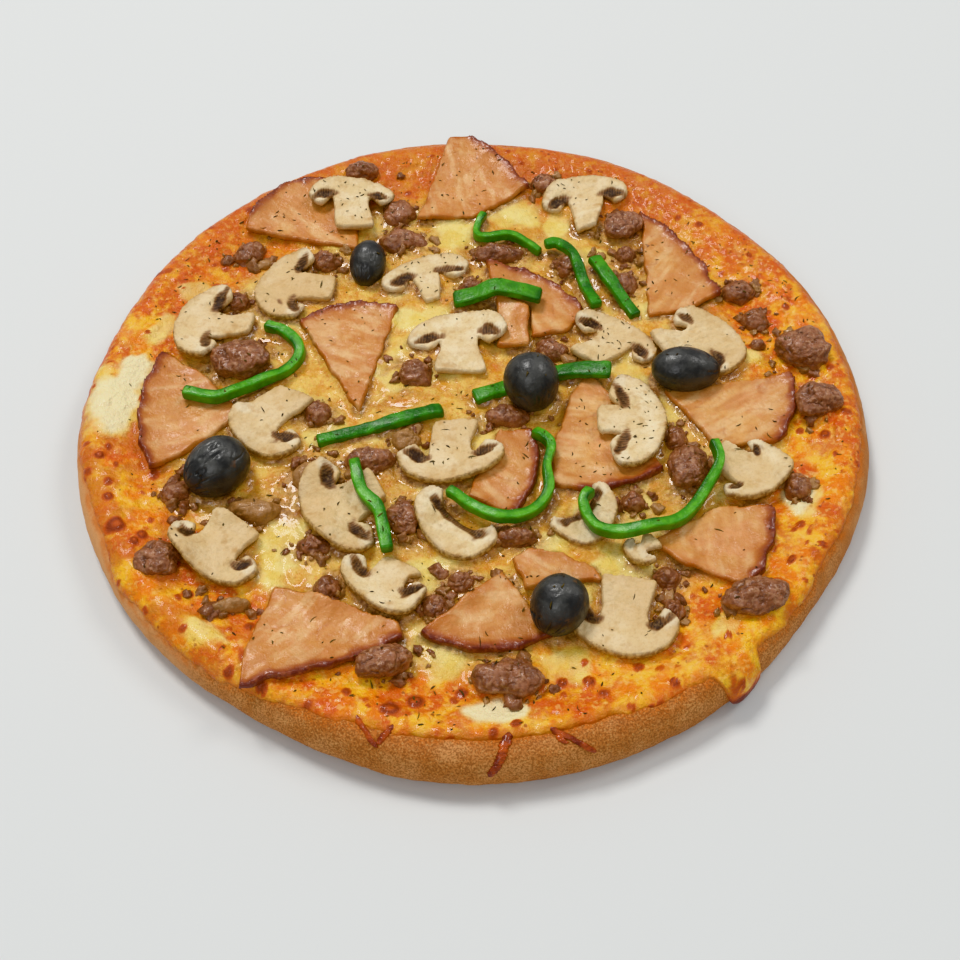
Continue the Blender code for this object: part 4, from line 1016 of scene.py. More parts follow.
    patches = layered_noise(flat, 16.0, 51, 3)
    back = 0.5 + 0.5 * np.sin(angle)
    # More red towards the back of the rim: painted shade there, over the real red oil
    red = step(layered_noise(flat, 13.0, 52, 3) + 0.34 * back + 0.3 * grainy, 0.02, 0.4) * rim
    loose = step(layered_noise(flat, 9.0, 57, 3), 0.34, 0.6) * (1 - rim) * 0.45 * (1 - pale)
    crisp_noise = layered_noise(flat, 6.0, 54, 3) + 0.3 * grainy
    brown = rim * step(crisp_noise, 0.34, 0.8) * 0.6 * step(patches, -0.5, 0.3) * (1 - 0.85 * pale)
    milky = field_mask(flat, MILKY_FIELDS, 53)
    brown = np.maximum(brown, blister * (0.42 + 0.3 * spot_value) + 0.15 * ring) * (1 - milky)
    brown = np.maximum(brown, scorched)
    down = step(along, RIM_LENGTH + 12.0, RIM_LENGTH + 14.0)
    brown = np.maximum(brown, tongue * step(layered_noise(flat, 5.0, 55, 2) - 0.3 * folds, 0.0, 0.7) * 0.6)
    ragged_end = along + 2.5 * layered_noise(flat, 4.0, 60, 2)
    brown = np.maximum(brown, step(ragged_end, RIM_LENGTH + 15.0, RIM_LENGTH + 19.0) * 0.95)
    brown = np.maximum(brown, tongue * (1 - step(left + 1.5 * grainy, 1.0, 4.0)) * 0.8)
    fat = 0.7 * (1 - step(second - near, 0.0, 0.2)) * step(patches, -0.3, 0.3)
    fat = fat + 0.55 * (1 - bubbles) * step(patches, -0.1, 0.4)
    fat = fat + 0.8 * step(beside, 0.05, 0.5) * step(layered_noise(flat, 7.0, 56, 3), -0.2, 0.3)
    fat = np.clip(fat, 0, 1) * (1 - 0.75 * rim) * (1 - pale * 0.8)
    fade_and_back_shade = (1 - step(left + 2.2 * grainy + 1.5 * patches, 0.0, 4.5)) * (1 - down) * 0.8
    left_side = step(np.cos(angle + math.radians(158.0)), 0.75, 0.97)
    left_side = left_side * (0.1 + 0.9 * step(layered_noise(flat, 9.0, 50, 3), -0.25, 0.25))
    # Painted shade on the back of the rim, with real browning on the left rim
    left_bake_and_back_shade = np.maximum(0.65 * step(back, 0.6, 1.0), 0.75 * left_side * (1 - pale))
    fade_and_back_shade = np.maximum(fade_and_back_shade, left_bake_and_back_shade * rim)
    spots = step(layered_noise(flat, 20.0, 59, 2), -0.15, 0.3) * rim * (1 - 0.6 * pale) * (1 - milky)
    masks = {"rim": rim, "red": np.maximum(red, loose), "pale": pale * (1 - 0.25 * rim), "brown": brown,
             "fat": fat, "mush": np.clip(pulp, 0, 1) * 0.9, "fade_and_back_shade": fade_and_back_shade, "spots": spots,
             "milky": 0.85 * milky * (1 - step(beside, 0.2, 0.7))}

    side = cells + 1
    index = np.arange(side * side).reshape(side, side)
    border = np.concatenate([index[0, :-1], index[:-1, -1], index[-1, :0:-1], index[:0:-1, 0]])
    rings, start = [border], len(points)
    for length in (RIM_LENGTH - 0.5, 13.0, 7.0, 0.0):
        inset, height, (out, up) = profile_at(np.full(len(border), length))
        radius = outline[border] - inset - 0.3 * out
        edge = angle[border]
        row = np.column_stack([np.cos(edge) * radius, np.sin(edge) * radius, height - 0.3 * up])
        points = np.vstack([points, row])
        rings.append(start + np.arange(len(border)))
        start += len(border)
    points = np.vstack([points, (0.0, 0.0, CRUST_PROFILE[0][1] - 0.3)])
    masks = {key: np.pad(values, (0, len(points) - len(values))) for key, values in masks.items()}
    faces = [grid_faces(side, side), ring_faces(np.array(rings), True), fan_faces(rings[-1], start, True)]
    return add_piece("melted_cheese", points, faces, finish, ("cheese",), masks)


# Browned drips on the side: width in mm and (direction in degrees, length past the rim) along the middle
Drip = namedtuple("Drip", "width line")
DRIPS = (
    Drip(4.4, ((-86.0, -0.5), (-86.2, 2.0), (-86.6, 4.5), (-86.9, 6.5))),
    Drip(3.6, ((-86.8, 5.5), (-87.2, 8.5), (-87.8, 11.5), (-88.4, 14.0), (-88.6, 15.5))),
    Drip(3.4, ((-81.2, -0.5), (-80.2, 2.5), (-79.0, 5.0), (-77.6, 8.0), (-76.4, 11.0), (-75.8, 12.8))),
    Drip(2.6, ((-79.8, 4.0), (-79.6, 6.0), (-79.0, 7.6))),
    Drip(3.8, ((-106.8, -0.5), (-105.6, 3.0), (-104.2, 5.8), (-103.0, 8.6), (-102.5, 9.6))),
    Drip(3.2, ((-100.6, -0.5), (-101.2, 2.5), (-101.8, 5.0), (-102.4, 8.6))),
    Drip(2.0, ((-122.0, 6.0), (-122.4, 8.0), (-122.2, 10.0))),
)


def on_crust(direction, length, lift):
    """Points on the dough's side at a direction and a length along its profile, lifted along the normal."""
    angle = np.radians(direction)
    inset, height, (out, up) = profile_at(length)
    radius = outline_radius(angle) - inset + out * lift
    return np.stack([np.cos(angle) * radius, np.sin(angle) * radius, np.maximum(height + up * lift, 0.2)], -1)


def make_drips(finish):
    """Thin drips: half an ellipse across, carried along a line on the dough's side, higher on cheese."""
    parts = []
    for number, drip in enumerate(DRIPS):
        line = smooth_line(drip.line, 0.09)
        rows = len(line)
        share = np.linspace(0, 1, rows)
        beads = 1 + 0.22 * smooth_noise(np.stack([share * rows * 0.35, share * 0 + 9 * number], -1), 2.2, 71)
        taper = np.sqrt(np.clip(1 - np.abs(2 * share - 1) ** 8, 0, 1)) * (1 - 0.2 * share)
        half = (drip.width / 2 * beads * taper)[:, None] + 0.02
        across = np.linspace(-1, 1, DRIP_POINTS)[None]
        to_degrees = math.degrees(1 / RADIUS)
        over_cheese = 1 - step(line[:, 1:], 1.0, 5.0)
        lift = np.sqrt(np.clip(1 - across ** 2, 0, 1)) * (np.minimum(half * 0.5, 0.8) + over_cheese) - 0.05
        direction = line[:, :1] + across * half * to_degrees
        length = RIM_LENGTH + line[:, 1:] + 0 * across
        top = on_crust(direction, length, lift).reshape(-1, 3)
        index = np.arange(rows * DRIP_POINTS).reshape(rows, DRIP_POINTS)
        loop = np.concatenate([index[0, :-1], index[:-1, -1], index[-1, :0:-1], index[:0:-1, 0]])
        middle = on_crust(line[rows // 2, :1], RIM_LENGTH + line[rows // 2, 1:], np.array([-0.8]))
        points = np.vstack([top, middle])
        ones = np.ones(len(points))
        brown = 0.76 + 0.35 * layered_noise(points, 2.4, 72, 2)
        masks = {"rim": ones, "red": 0.8 * ones, "brown": brown, "fat": 0.3 * ones}
        faces = [grid_faces(rows, DRIP_POINTS), fan_faces(loop, rows * DRIP_POINTS, True)]
        parts.append((points, faces, masks))
    points, faces, masks = join_meshes(parts)
    return add_piece("browned_drips", points, faces, finish, (), masks)


# Slices

Slab = namedtuple("Slab", "x y level distance quads border used low pitch")


def slab_grid(node, outline, pitch, ragged, seed):
    """Square grid inside an outline, its border moved onto it, at the middle height of the CAD slice."""
    low, high = outline.min(0) - 2 * pitch, outline.max(0) + 2 * pitch
    x, y = np.meshgrid(np.arange(low[0], high[0], pitch), np.arange(low[1], high[1], pitch))
    points = np.stack([x.ravel(), y.ravel()], -1)
    distance = signed_distance(points, outline) + ragged * layered_noise(points, 4.0, seed, 2)
    distance = distance.reshape(x.shape)
    inside = distance < 0.5 * pitch
    quads = inside[:-1, :-1] & inside[1:, :-1] & inside[:-1, 1:] & inside[1:, 1:]
    around = np.pad(quads.astype(int), 1)
    count = around[:-1, :-1] + around[1:, :-1] + around[:-1, 1:] + around[1:, 1:]
    used, border = count > 0, (count > 0) & (count < 4)
    slope_y, slope_x = np.gradient(distance, pitch)
    size = np.maximum(np.hypot(slope_x, slope_y), 0.5)
    move = np.clip(distance / size, -1.2 * pitch, 1.2 * pitch) * border
    x, y = x - move * slope_x / size, y - move * slope_y / size
    distance = np.where(border, 0.0, np.minimum(distance, -0.3 * pitch))
    middle, start, step_size = cad_middle(node, low, high)
    level = averaged(sample(middle, start, step_size, x, y), 7)
    return Slab(x, y, level, distance, quads, border, used, low, pitch)


def slab_piece(name, slab, thickness, rounding, relief, finish, node, masks):
    """Closed slice on a slab's grid: top and underside meet at the border, rounded over a distance."""
    share = np.clip(-slab.distance / rounding, 0.0, 1.0)
    full = (1 - (1 - share) ** 4) ** 0.25
    half = thickness / 2 * full
    top = slab.level + half + relief * full
    bottom = slab.level - half + np.minimum(relief, 0.0) * 0.5 * full
    upper = np.full(slab.used.shape, -1)
    upper[slab.used] = np.arange(slab.used.sum())
    lower = upper.copy()
    inner = slab.used & ~slab.border
    lower[inner] = slab.used.sum() + np.arange(inner.sum())
    points = np.concatenate([np.stack([slab.x, slab.y, top], -1)[slab.used],
                             np.stack([slab.x, slab.y, bottom], -1)[inner]])
    row, column = np.nonzero(slab.quads)
    corner = ((row, column), (row, column + 1), (row + 1, column + 1), (row + 1, column))
    over = np.stack([upper[spot] for spot in corner], -1)
    under = np.stack([lower[spot] for spot in corner[::-1]], -1)
    values = {key: np.concatenate([value[slab.used], value[inner]]) for key, value in masks.items()}
    return add_piece(name, points, np.concatenate([over, under]), finish, (node,), values)


def ham_outline(ham):
    """Corners joined by nearly straight cuts, with the rind as a ruffled arc; gives outline and rind."""
    corners = np.array(ham.corners, float)
    points, rind_line = [], None
    for index, start in enumerate(corners):
        end = corners[(index + 1) % len(corners)]
        along = end - start
        length = math.hypot(*along)
        outward = np.array((along[1], -along[0])) / length
        rind = index == ham.rind
        waves = max(1, round(length / 7.0))
        count = max(2, round(length / 0.9))
        share = np.arange(count + 1) / count
        bow = 4.0 * share * (1.0 - share) * (ham.bulge if rind else 0.0)
        sway = 0.7 + 0.6 * layered_noise(start + along * share[:, None], 9.0, 98, 2)
        wavy = np.sin(share * math.pi * waves + 1.5 * sway * share * (1 - share)) * sway
        wavy = wavy * (0.7 * ham.ruffle if rind else 0.35)
        side = start + along * share[:, None] + outward * (bow + wavy)[:, None]
        points.append(side[:-1])
        rind_line = side if rind else rind_line
    return np.concatenate(points), rind_line


# How warm the tan of each slice is, from 0 to 1, in the slices' order
HAM_TONES = (0.45, 0.7, 0.45, 0.45, 0.75, 0.5, 0.5, 0.15, 0.0, 0.4, 0.1, 0.6, 0.6, 0.4)


def make_ham(number, ham, finish):
    """Slice of ham: soft waves, seams between its muscles and edges that curl up."""
    node = f"ham_{number:02d}"
    outline, rind_line = ham_outline(ham)
    seed = 100 + 17 * number
    slab = slab_grid(node, outline, HAM_PITCH, 0.6, seed)
    flat = np.stack([slab.x.ravel(), slab.y.ravel()], -1)
    shape = slab.x.shape
    rind = line_distance(flat, rind_line, False) if ham.bulge else np.full(len(flat), 99.0)
    distance = slab.distance.ravel()
    patch = layered_noise(flat, 5.0, seed + 1, 3)
    seam = np.abs(layered_noise(flat + (3 * seed, 0), 15.0, seed + 2, 2))
    seam = (1 - step(seam, 0.0, 0.05)) * step(patch, -0.2, 0.5)
    edge = np.exp(distance / 1.3)
    waves = 0.6 * layered_noise(flat, 10.0, seed + 3, 3) + 0.15 * layered_noise(flat, 3.0, seed + 4, 2)
    curl = 0.7 * np.exp(distance / 3.0) * (0.5 + layered_noise(flat, 8.0, seed + 5, 2))
    band = np.exp(-(rind / (3.0 + 1.3 * patch)) ** 2)
    knobs = layered_noise(flat, 3.2, seed + 6, 2)
    relief = waves - 0.35 * seam + curl + (0.8 + 0.7 * knobs) * band
    cuts = np.clip(edge * (0.55 + 0.8 * patch), 0, 1)
    toasted = 0.5 * np.exp(-(rind / (8.0 + 3.5 * patch)) ** 2) + 0.3 * np.exp(distance / 4.5) * (0.7 + patch)
    streak = layered_noise(turned(flat, 41.0 * number) * (0.22, 1.0), 3.0, seed + 7, 3)
    masks = {"rind": band, "seam": seam * 0.5, "edge": np.clip(cuts + toasted, 0, 1),
             "cream": 0.6 * step(streak, 0.05, 0.5), "tan": 0.55 * step(-streak, 0.05, 0.5),
             "warm": np.full(len(flat), HAM_TONES[number - 1])}
    masks = {key: value.reshape(shape) for key, value in masks.items()}
    return slab_piece(f"ham_slice_{number:02d}", slab, HAM_THICKNESS, 0.8, relief.reshape(shape), finish,
                      node, masks)


def mushroom_side(one, sign):
    """Right side of a section from the stem's end to the rim, or the left side mirrored for a sign of -1."""
    half, lip = one.width / 2, min(LIP, one.width * 0.13)
    flank, shift = one.neck + sign * one.side, sign * one.shift
    tip = min(flank + one.gap, half - RIM_WIDTH)
    if one.stem:
        stem = [(shift + one.end * 0.3, -one.stem), (shift + one.end / 2, -one.stem + 1.6), (flank, -lip)]
        if tip - flank < 1.0:
            return np.array([*stem, (half - 0.5, -lip * 0.4)])
        stem.append((flank + one.gap * 0.3, min(GILL, one.gap * 0.5 - 1.5)))
    else:
        stem, tip = [(half * 0.3, GILL)], half - one.width * TUCK
    return np.array([*stem, (tip, -lip * 0.55), (tip + (half - tip) * 0.25, -lip),
                     (tip + (half - tip) * 0.75, -lip * 0.65)])


def mushroom_outline(one):
    """Section of a cap and its stem in its own frame: half an ellipse, curled rims, slots and the stem."""
    angle = np.radians(np.arange(0, 181, 20.0))
    across = one.width / 2 * np.cos(angle) + one.lean * np.sin(angle) ** 2
    dome = np.stack([across, one.dome * np.sin(angle) ** 0.9], 1)
    left = mushroom_side(one, -1.0) * (-1.0, 1.0)
    corners = np.concatenate([mushroom_side(one, 1.0), dome, left[::-1]])
    return smooth_line(corners, 0.9, closed=True)


# How tan each slice has baked, from 0 to 1, in the slices' order
MUSHROOM_TONES = (0.3, 0.8, 0.3, 0.2, 0.2, 0.1, 0.5, 0.5, 0.6, 0.1, 0.5, 0.6, 0.3, 0.2, 0.5, 0.4, 0.4,
                  0.6, 0.6)


def gill_pockets(own, one, patch):
    """Hollows of the gills, brown with painted shade: a curved oval on each side of the stem, or a band if
    there is no stem.
    """
    half = one.width / 2
    if not one.stem:
        curve = (own[:, 1] - GILL - 1.3 + 3.2 * (own[:, 0] / half) ** 2) / 1.9
        inside = step(np.abs(own[:, 0]), half * 0.78, half * 0.62)
        return np.exp(-np.abs(curve / (1 + 0.3 * patch)) ** 4) * inside
    total = np.zeros(len(own))
    for sign in (1.0, -1.0):
        flank = one.neck + sign * one.side
        length = min((half - 2.8 - flank) / 2, 5.2)
        if length > 1.2:
            across = (own[:, 0] * sign - flank - 0.2 - length * 0.95) / (length * 1.12)
            above = (own[:, 1] - 0.7 + 1.5 * across + 0.9 * across ** 2) / min(2.4, 0.62 * length)
            size = np.hypot(across, above) / (1 + 0.35 * patch)
            total = np.maximum(total, 1 - step(size, 0.5, 1.4))
    return total


def make_mushroom(number, one, finish):
    """Slice of mushroom: shrivelled flesh, pockets of brown gills with painted shade by the stem, and skin
    round the cap.
    """
    node = f"mushroom_{number:02d}"
    seed = 400 + 19 * number
    centre = np.array((one.x, one.y), float)
    outline = turned(mushroom_outline(one), one.turn - 90.0) + centre
    slab = slab_grid(node, outline, MUSHROOM_PITCH, 0.3, seed)
    flat = np.stack([slab.x.ravel(), slab.y.ravel()], -1)
    shape = slab.x.shape
    own = turned(flat - centre, 90.0 - one.turn)
    half = one.width / 2
    across, above = own[:, 0], own[:, 1]
    lip = min(LIP, one.width * 0.13)
    distance = slab.distance.ravel()
    tall = one.dome * 0.52 + lip * 0.4
    arc = np.hypot((across - one.lean * 0.5) / (half * 0.66), (above + lip * 0.4) / tall)
    patch = layered_noise(flat, 3.5, seed + 1, 3)
    shaded_hollow = gill_pockets(own, one, patch)
    beside = step(np.abs(across - one.side), one.neck, one.neck + 2.5)
    line = np.exp(-((arc - 1.0) * half * 0.5 / 0.8) ** 2) * beside * step(above, -lip, -lip + 2.0)
    lamellae = 0.5 + 0.5 * np.sin(across * 7.0 + 2.0 * patch)
    gill = np.clip(line * (0.15 + 0.5 * patch) + shaded_hollow * (0.95 + 0.25 * patch - 0.35 * lamellae), 0, 1)
    edge = np.exp(distance / 0.7)
    on_cap = step(above, -lip * 0.8, 1.0) * step(arc, 1.0, 1.35)
    skin = edge * on_cap
    waves = 0.5 * layered_noise(flat, 6.5, seed + 2, 3) + 0.2 * layered_noise(flat, 2.4, seed + 3, 2)
    ridges = np.abs(layered_noise(own * (1.0, 0.35), 2.6, seed + 4, 2))
    relief = waves - 0.3 * (1 - step(ridges, 0.0, 0.12)) - 0.3 * line - (0.75 + 0.3 * lamellae) * shaded_hollow
    relief = relief + 0.5 * np.exp(distance / 1.8) * on_cap
    dry = np.clip(0.5 * np.exp(distance / 1.6) * (0.7 + patch) + 0.5 * step(patch, 0.35, 0.75), 0, 1)
    shade = MUSHROOM_TONES[(number - 1) % len(MUSHROOM_TONES)] + 0.35 * layered_noise(flat, 14.0, seed + 5, 2)
    hook = np.hypot(np.abs(across) - half + 3.2, above + lip * 0.3) / 4.2
    masks = {"gill": gill, "skin": np.clip(skin * 1.15, 0, 1), "dry": dry * (1 - 0.4 * shaded_hollow),
             "tone": np.clip(shade, 0, 1), "white": 0.75 * (1 - step(hook + 0.3 * patch, 0.6, 1.2))}
    masks = {key: value.reshape(shape) for key, value in masks.items()}
    return slab_piece(f"mushroom_slice_{number:02d}", slab, MUSHROOM_THICKNESS, 0.65, relief.reshape(shape),
                      finish, node, masks)


# Strips, olives and meat

def make_pepper(number, one, finish):
    """Strip of pepper: a rounded rectangle carried along the middle line, closed by blunt ends.

    The section is a superellipse; its points are moved outwards by noise along
    the strip.
    """
    node = f"pepper_{number:02d}"
    seed = 800 + 23 * number
    line = smooth_line(one.line, 0.7)
    tree = cad_tree(node)
    x, y = line[:, 0], line[:, 1]
    middle = (cad_heights(tree, x, y, True) + cad_heights(tree, x, y, False)) / 2
    good = np.isfinite(middle)
    spots = np.arange(len(line))
    middle = np.interp(spots, spots[good], middle[good])
    window = np.ones(9) / 9
    middle = np.convolve(np.pad(middle, 4, mode="edge"), window, mode="valid")
    direction = np.gradient(line, axis=0)
    direction /= np.linalg.norm(direction, axis=1)[:, None]
    side = np.stack([direction[:, 1], -direction[:, 0]], 1)
    count = STRIP_POINTS
    around = np.linspace(0, 2 * math.pi, count, endpoint=False)
    power = 2 / 5.0
    across = np.sign(np.cos(around)) * np.abs(np.cos(around)) ** power
    above = np.sign(np.sin(around)) * np.abs(np.sin(around)) ** power
    from_end = np.minimum(spots, spots[::-1]) * 0.7
    close = np.sqrt(np.clip(1 - (1 - np.clip((from_end + 0.35) / 1.0, 0, 1)) ** 2, 0, 1))
    swell = 1 + 0.14 * smooth_noise(line, 9.0, seed) + 0.06 * smooth_noise(line, 3.0, seed + 5)
    width = one.width / 2 * swell * close
    height = one.height / 2 * (1 + 0.10 * smooth_noise(line, 9.0, seed + 1)) * close
    roll = 0.22 * smooth_noise(line, 14.0, seed + 2) * (1.0 if one.skin == 0 else 0.5)
    a = across[None] * width[:, None]
    b = above[None] * height[:, None] - (0.5 * (across ** 2)[None] * (0.3 if one.skin == 0 else 0.0))
    cosine, sine = np.cos(roll)[:, None], np.sin(roll)[:, None]
    a, b = a * cosine - b * sine, a * sine + b * cosine
    place = np.stack([x[:, None] + side[:, :1] * a, y[:, None] + side[:, 1:] * a, middle[:, None] + b], -1)
    points = place.reshape(-1, 3)
    outward = np.stack([side[:, :1] * across, side[:, 1:] * across, np.ones((len(line), 1)) * above], -1)
    rough = 0.14 * layered_noise(points, 3.0, seed + 3, 3)
    points = points + outward.reshape(-1, 3) * rough[:, None]
    last = len(points)
    points = np.vstack([points, points[:count].mean(0), points[-count:].mean(0)])
    ring = np.arange(count)
    faces = [grid_faces(len(line), count, True)[:, ::-1], fan_faces(ring, last),
             fan_faces(ring + last - count, last + 1, True)]
    if one.skin == 0:
        # Painted light: stretches of the top given the lighter flesh green
        lit = 0.55 * step(smooth_noise(line, 11.0, seed + 6), 0.0, 0.6)[:, None]
        under = step(-above[None] - 0.2 * np.abs(across)[None], 0.25, 0.8)
        flesh = np.maximum(under, lit * step(above[None], 0.5, 0.9))
    else:
        skin_side = np.clip(across[None] * one.skin, -1, 1)
        flesh = (1 - step(skin_side, 0.15, 0.6)) * np.ones((len(line), 1))
        flesh = flesh * (0.3 + 0.7 * step(above[None], 0.3, 0.9))
    char = np.exp(-from_end / 1.1)[:, None] * 0.35 * np.ones((1, count))
    spots_of_char = 0.35 * step(layered_noise(points, 4.0, seed + 4, 3), 0.42, 0.7)
    masks = {"flesh": np.append(flesh.ravel(), (flesh[0].mean(), flesh[-1].mean())),
             "char": np.append(char.ravel(), (0.4, 0.4)) + spots_of_char}
    return add_piece(f"pepper_strip_{number:02d}", points, faces, finish, (node,), masks)


def ball_grid(rows, columns):
    """Directions on a sphere, rows from pole to pole, with faces that close it; the poles come last."""
    polar = np.linspace(0, math.pi, rows + 2)[1:-1]
    turn = np.linspace(0, 2 * math.pi, columns, endpoint=False)
    away = np.stack([np.outer(np.sin(polar), np.cos(turn)), np.outer(np.sin(polar), np.sin(turn)),
                     np.outer(np.cos(polar), np.ones(columns))], -1).reshape(-1, 3)
    away = np.vstack([away, (0, 0, 1), (0, 0, -1)])
    ring = np.arange(columns)
    last = rows * columns
    faces = [grid_faces(rows, columns, True)[:, ::-1], fan_faces(ring, last),
             fan_faces(ring + last - columns, last + 1, True)]
    return away, faces


def make_olive(number, one, finish):
    """Whole olive: an egg of its diameter and length with wrinkles that run along it and end in a dimple."""
    node = f"olive_{number:02d}"
    seed = 1200 + 29 * number
    away, faces = ball_grid(110, 160)
    turn = np.arctan2(away[:, 1], away[:, 0])
    along = away[:, 2]
    folded = np.stack([np.cos(turn) * 4.0, np.sin(turn) * 4.0, along * 2.2], -1)
    creases = 1 - step(np.abs(layered_noise(folded, 1.6, seed, 3)), 0.0, 0.16)
    shrivel = step(layered_noise(away, 0.9, seed + 1, 2) + 0.9 * step(-along, 0.2, 0.9), 0.1, 0.6)
    dents = layered_noise(away, 0.8, seed + 2, 2)
    radius = one.diameter / 2 * (1 + 0.06 * along + 0.02 * dents)
    radius = radius - one.wrinkle * (0.55 * creases * shrivel + 0.12 * creases)
    dimple = np.exp(-((1 - np.abs(along)) / 0.012)) * 0.9
    length = one.length / 2 * (1 + 0.015 * dents) - dimple * (1 if one.wrinkle > 0.6 else 0.5)
    local = np.stack([away[:, 0] * radius, away[:, 1] * radius, along * length], -1)
    local -= away * (0.25 * one.wrinkle * creases * shrivel)[:, None]
    tilt, heading = math.radians(90 - one.rise), math.radians(one.turn)
    lean = np.array(((math.cos(tilt), 0, math.sin(tilt)), (0, 1, 0), (-math.sin(tilt), 0, math.cos(tilt))))
    spin = np.array(((math.cos(heading), -math.sin(heading), 0), (math.sin(heading), math.cos(heading), 0),
                     (0, 0, 1)))
    points = local @ (spin @ lean).T
    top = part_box(node)[1].z / MM
    points += (one.x, one.y, top - points[:, 2].max())
    dry = step(layered_noise(away, 0.35, seed + 4, 2) + 0.3 * creases, 0.75, 1.0) * (one.wrinkle > 0.6) * 0.8
    return add_piece(f"olive_{number:02d}_skin", points, faces, finish, (node,), {"dry": dry})


def lump(chunk, base, height, seed, rows, columns):
    """Crumbly lump: an ellipsoid swollen by layered noise at three sizes and cut by crevices."""
    away, faces = ball_grid(rows, columns)
    size = np.array((chunk.width * 0.54, chunk.depth * 0.54, height))
    sized = away * size
    shifted = sized + (seed * 7.3, seed * 3.1, 0)
    broad = 0.34 * layered_noise(shifted, 9.0, seed, 3)
    folds = np.abs(layered_noise(shifted, 5.0, seed + 1, 3))
    crevice = 1 - step(folds, 0.0, 0.11)
    grains = 0.9 * layered_noise(shifted, 3.4, seed + 2, 2) + 0.45 * layered_noise(shifted, 1.3, seed + 3, 2)
    local = sized * (1 + broad)[:, None] + away * (0.85 * grains - 0.4 * crevice)[:, None]
    local[:, :2] = turned(local[:, :2], chunk.turn)
    points = local + (chunk.x, chunk.y, base)
    # The last mask is painted shade: darker in the crevices and where the surface sinks
    return points, faces, np.clip(crevice * 0.5 - 0.5 * grains, 0, 1)


def make_meat(number, chunk, finish):
    """One large chunk of meat, as high as its CAD node."""
    node = f"meat_{number:02d}"
    low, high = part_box(node)
    top, bottom = high.z / MM, low.z / MM
    height = (top - bottom) * 0.62
    points, faces, shaded_hollow = lump(chunk, top - height, height - 0.4, 1500 + 31 * number, 70, 104)
    return add_piece(f"meat_chunk_{number:02d}", points, faces, finish, (node,),
                     {"shaded_hollow": shaded_hollow, "greasy": np.zeros(len(points))})


def join_meshes(parts):
    """One set of points and faces from several that share the same lists of masks."""
    points, quads, triangles, masks, start = [], [], [], {}, 0
    for place, faces, values in parts:
        points.append(place)
        for group in faces:
            (quads if group.shape[1] == 4 else triangles).append(group + start)
        for key, value in values.items():
            masks.setdefault(key, []).append(value)
        start += len(place)
    groups = [np.concatenate(kind) for kind in (quads, triangles) if kind]
    return np.concatenate(points), groups, {key: np.concatenate(value) for key, value in masks.items()}


GREASY = (22, 24, 30, 32)  # crumbs that are paler and soaked in fat


def make_crumbs(finish, cheese_tree):
    """The smaller chunks of meat on the cheese."""
    parts = []
    for index, chunk in enumerate(CRUMBS):
        floor = cheese_level(cheese_tree, chunk.x, chunk.y)
        points, faces, shaded_hollow = lump(chunk, floor - 0.5, chunk.height + 1.2, 2100 + 37 * index, 40, 58)
        greasy = np.full(len(points), 0.75 if index in GREASY else 0.0)
        parts.append((points, faces, {"shaded_hollow": shaded_hollow, "greasy": greasy}))
    points, faces, masks = join_meshes(parts)
    return add_piece("meat_crumbs", points, faces, finish, ("cheese",), masks)


def cheese_level(tree, x, y):
    """Height of the fine cheese under a place of the plan."""
    hit = tree.ray_cast(Vector((x * MM, y * MM, 0.2)), Vector((0, 0, -1)))[0]
    return hit.z / MM


def make_bits(finish, cheese_tree, source):
    """Loose bits of meat, 1 to 4 mm wide, scattered round the chunks on the cheese."""
    places = []
    for chunk in MEAT + CRUMBS:
        turn = source.uniform(0, 2 * math.pi, BITS_PER_CHUNK)
        away = 0.9 + source.gamma(1.6, 0.3, BITS_PER_CHUNK)
        places.append(np.stack([chunk.x + np.cos(turn) * away * chunk.width * 0.5,
                                chunk.y + np.sin(turn) * away * chunk.depth * 0.5], -1))
    places = np.concatenate(places)
    parts = []
    for index, (x, y) in enumerate(places):
        if math.hypot(x, y) > 134:
            continue
        size = 0.6 + source.gamma(1.8, 0.5)
        away, faces = ball_grid(7, 10)
        rough = 1 + 0.75 * smooth_noise(away * 3 + index, 1.6, 77)
        points = away * rough[:, None] * (size, size * source.uniform(0.6, 1.0), size * 0.7)
        points[:, :2] = turned(points[:, :2], source.uniform(0, 360))
        points += (x, y, cheese_level(cheese_tree, x, y) + 0.1)
        greasy = np.full(len(points), source.choice((0.0, 0.3, 0.8)))
        # Painted shade on each bit, darker where its surface swells or sinks
        parts.append((points, faces, {"shaded_hollow": 0.4 * np.abs(rough - 1), "greasy": greasy}))
    points, faces, masks = join_meshes(parts)
    return add_piece("meat_bits", points, faces, finish, (), masks)


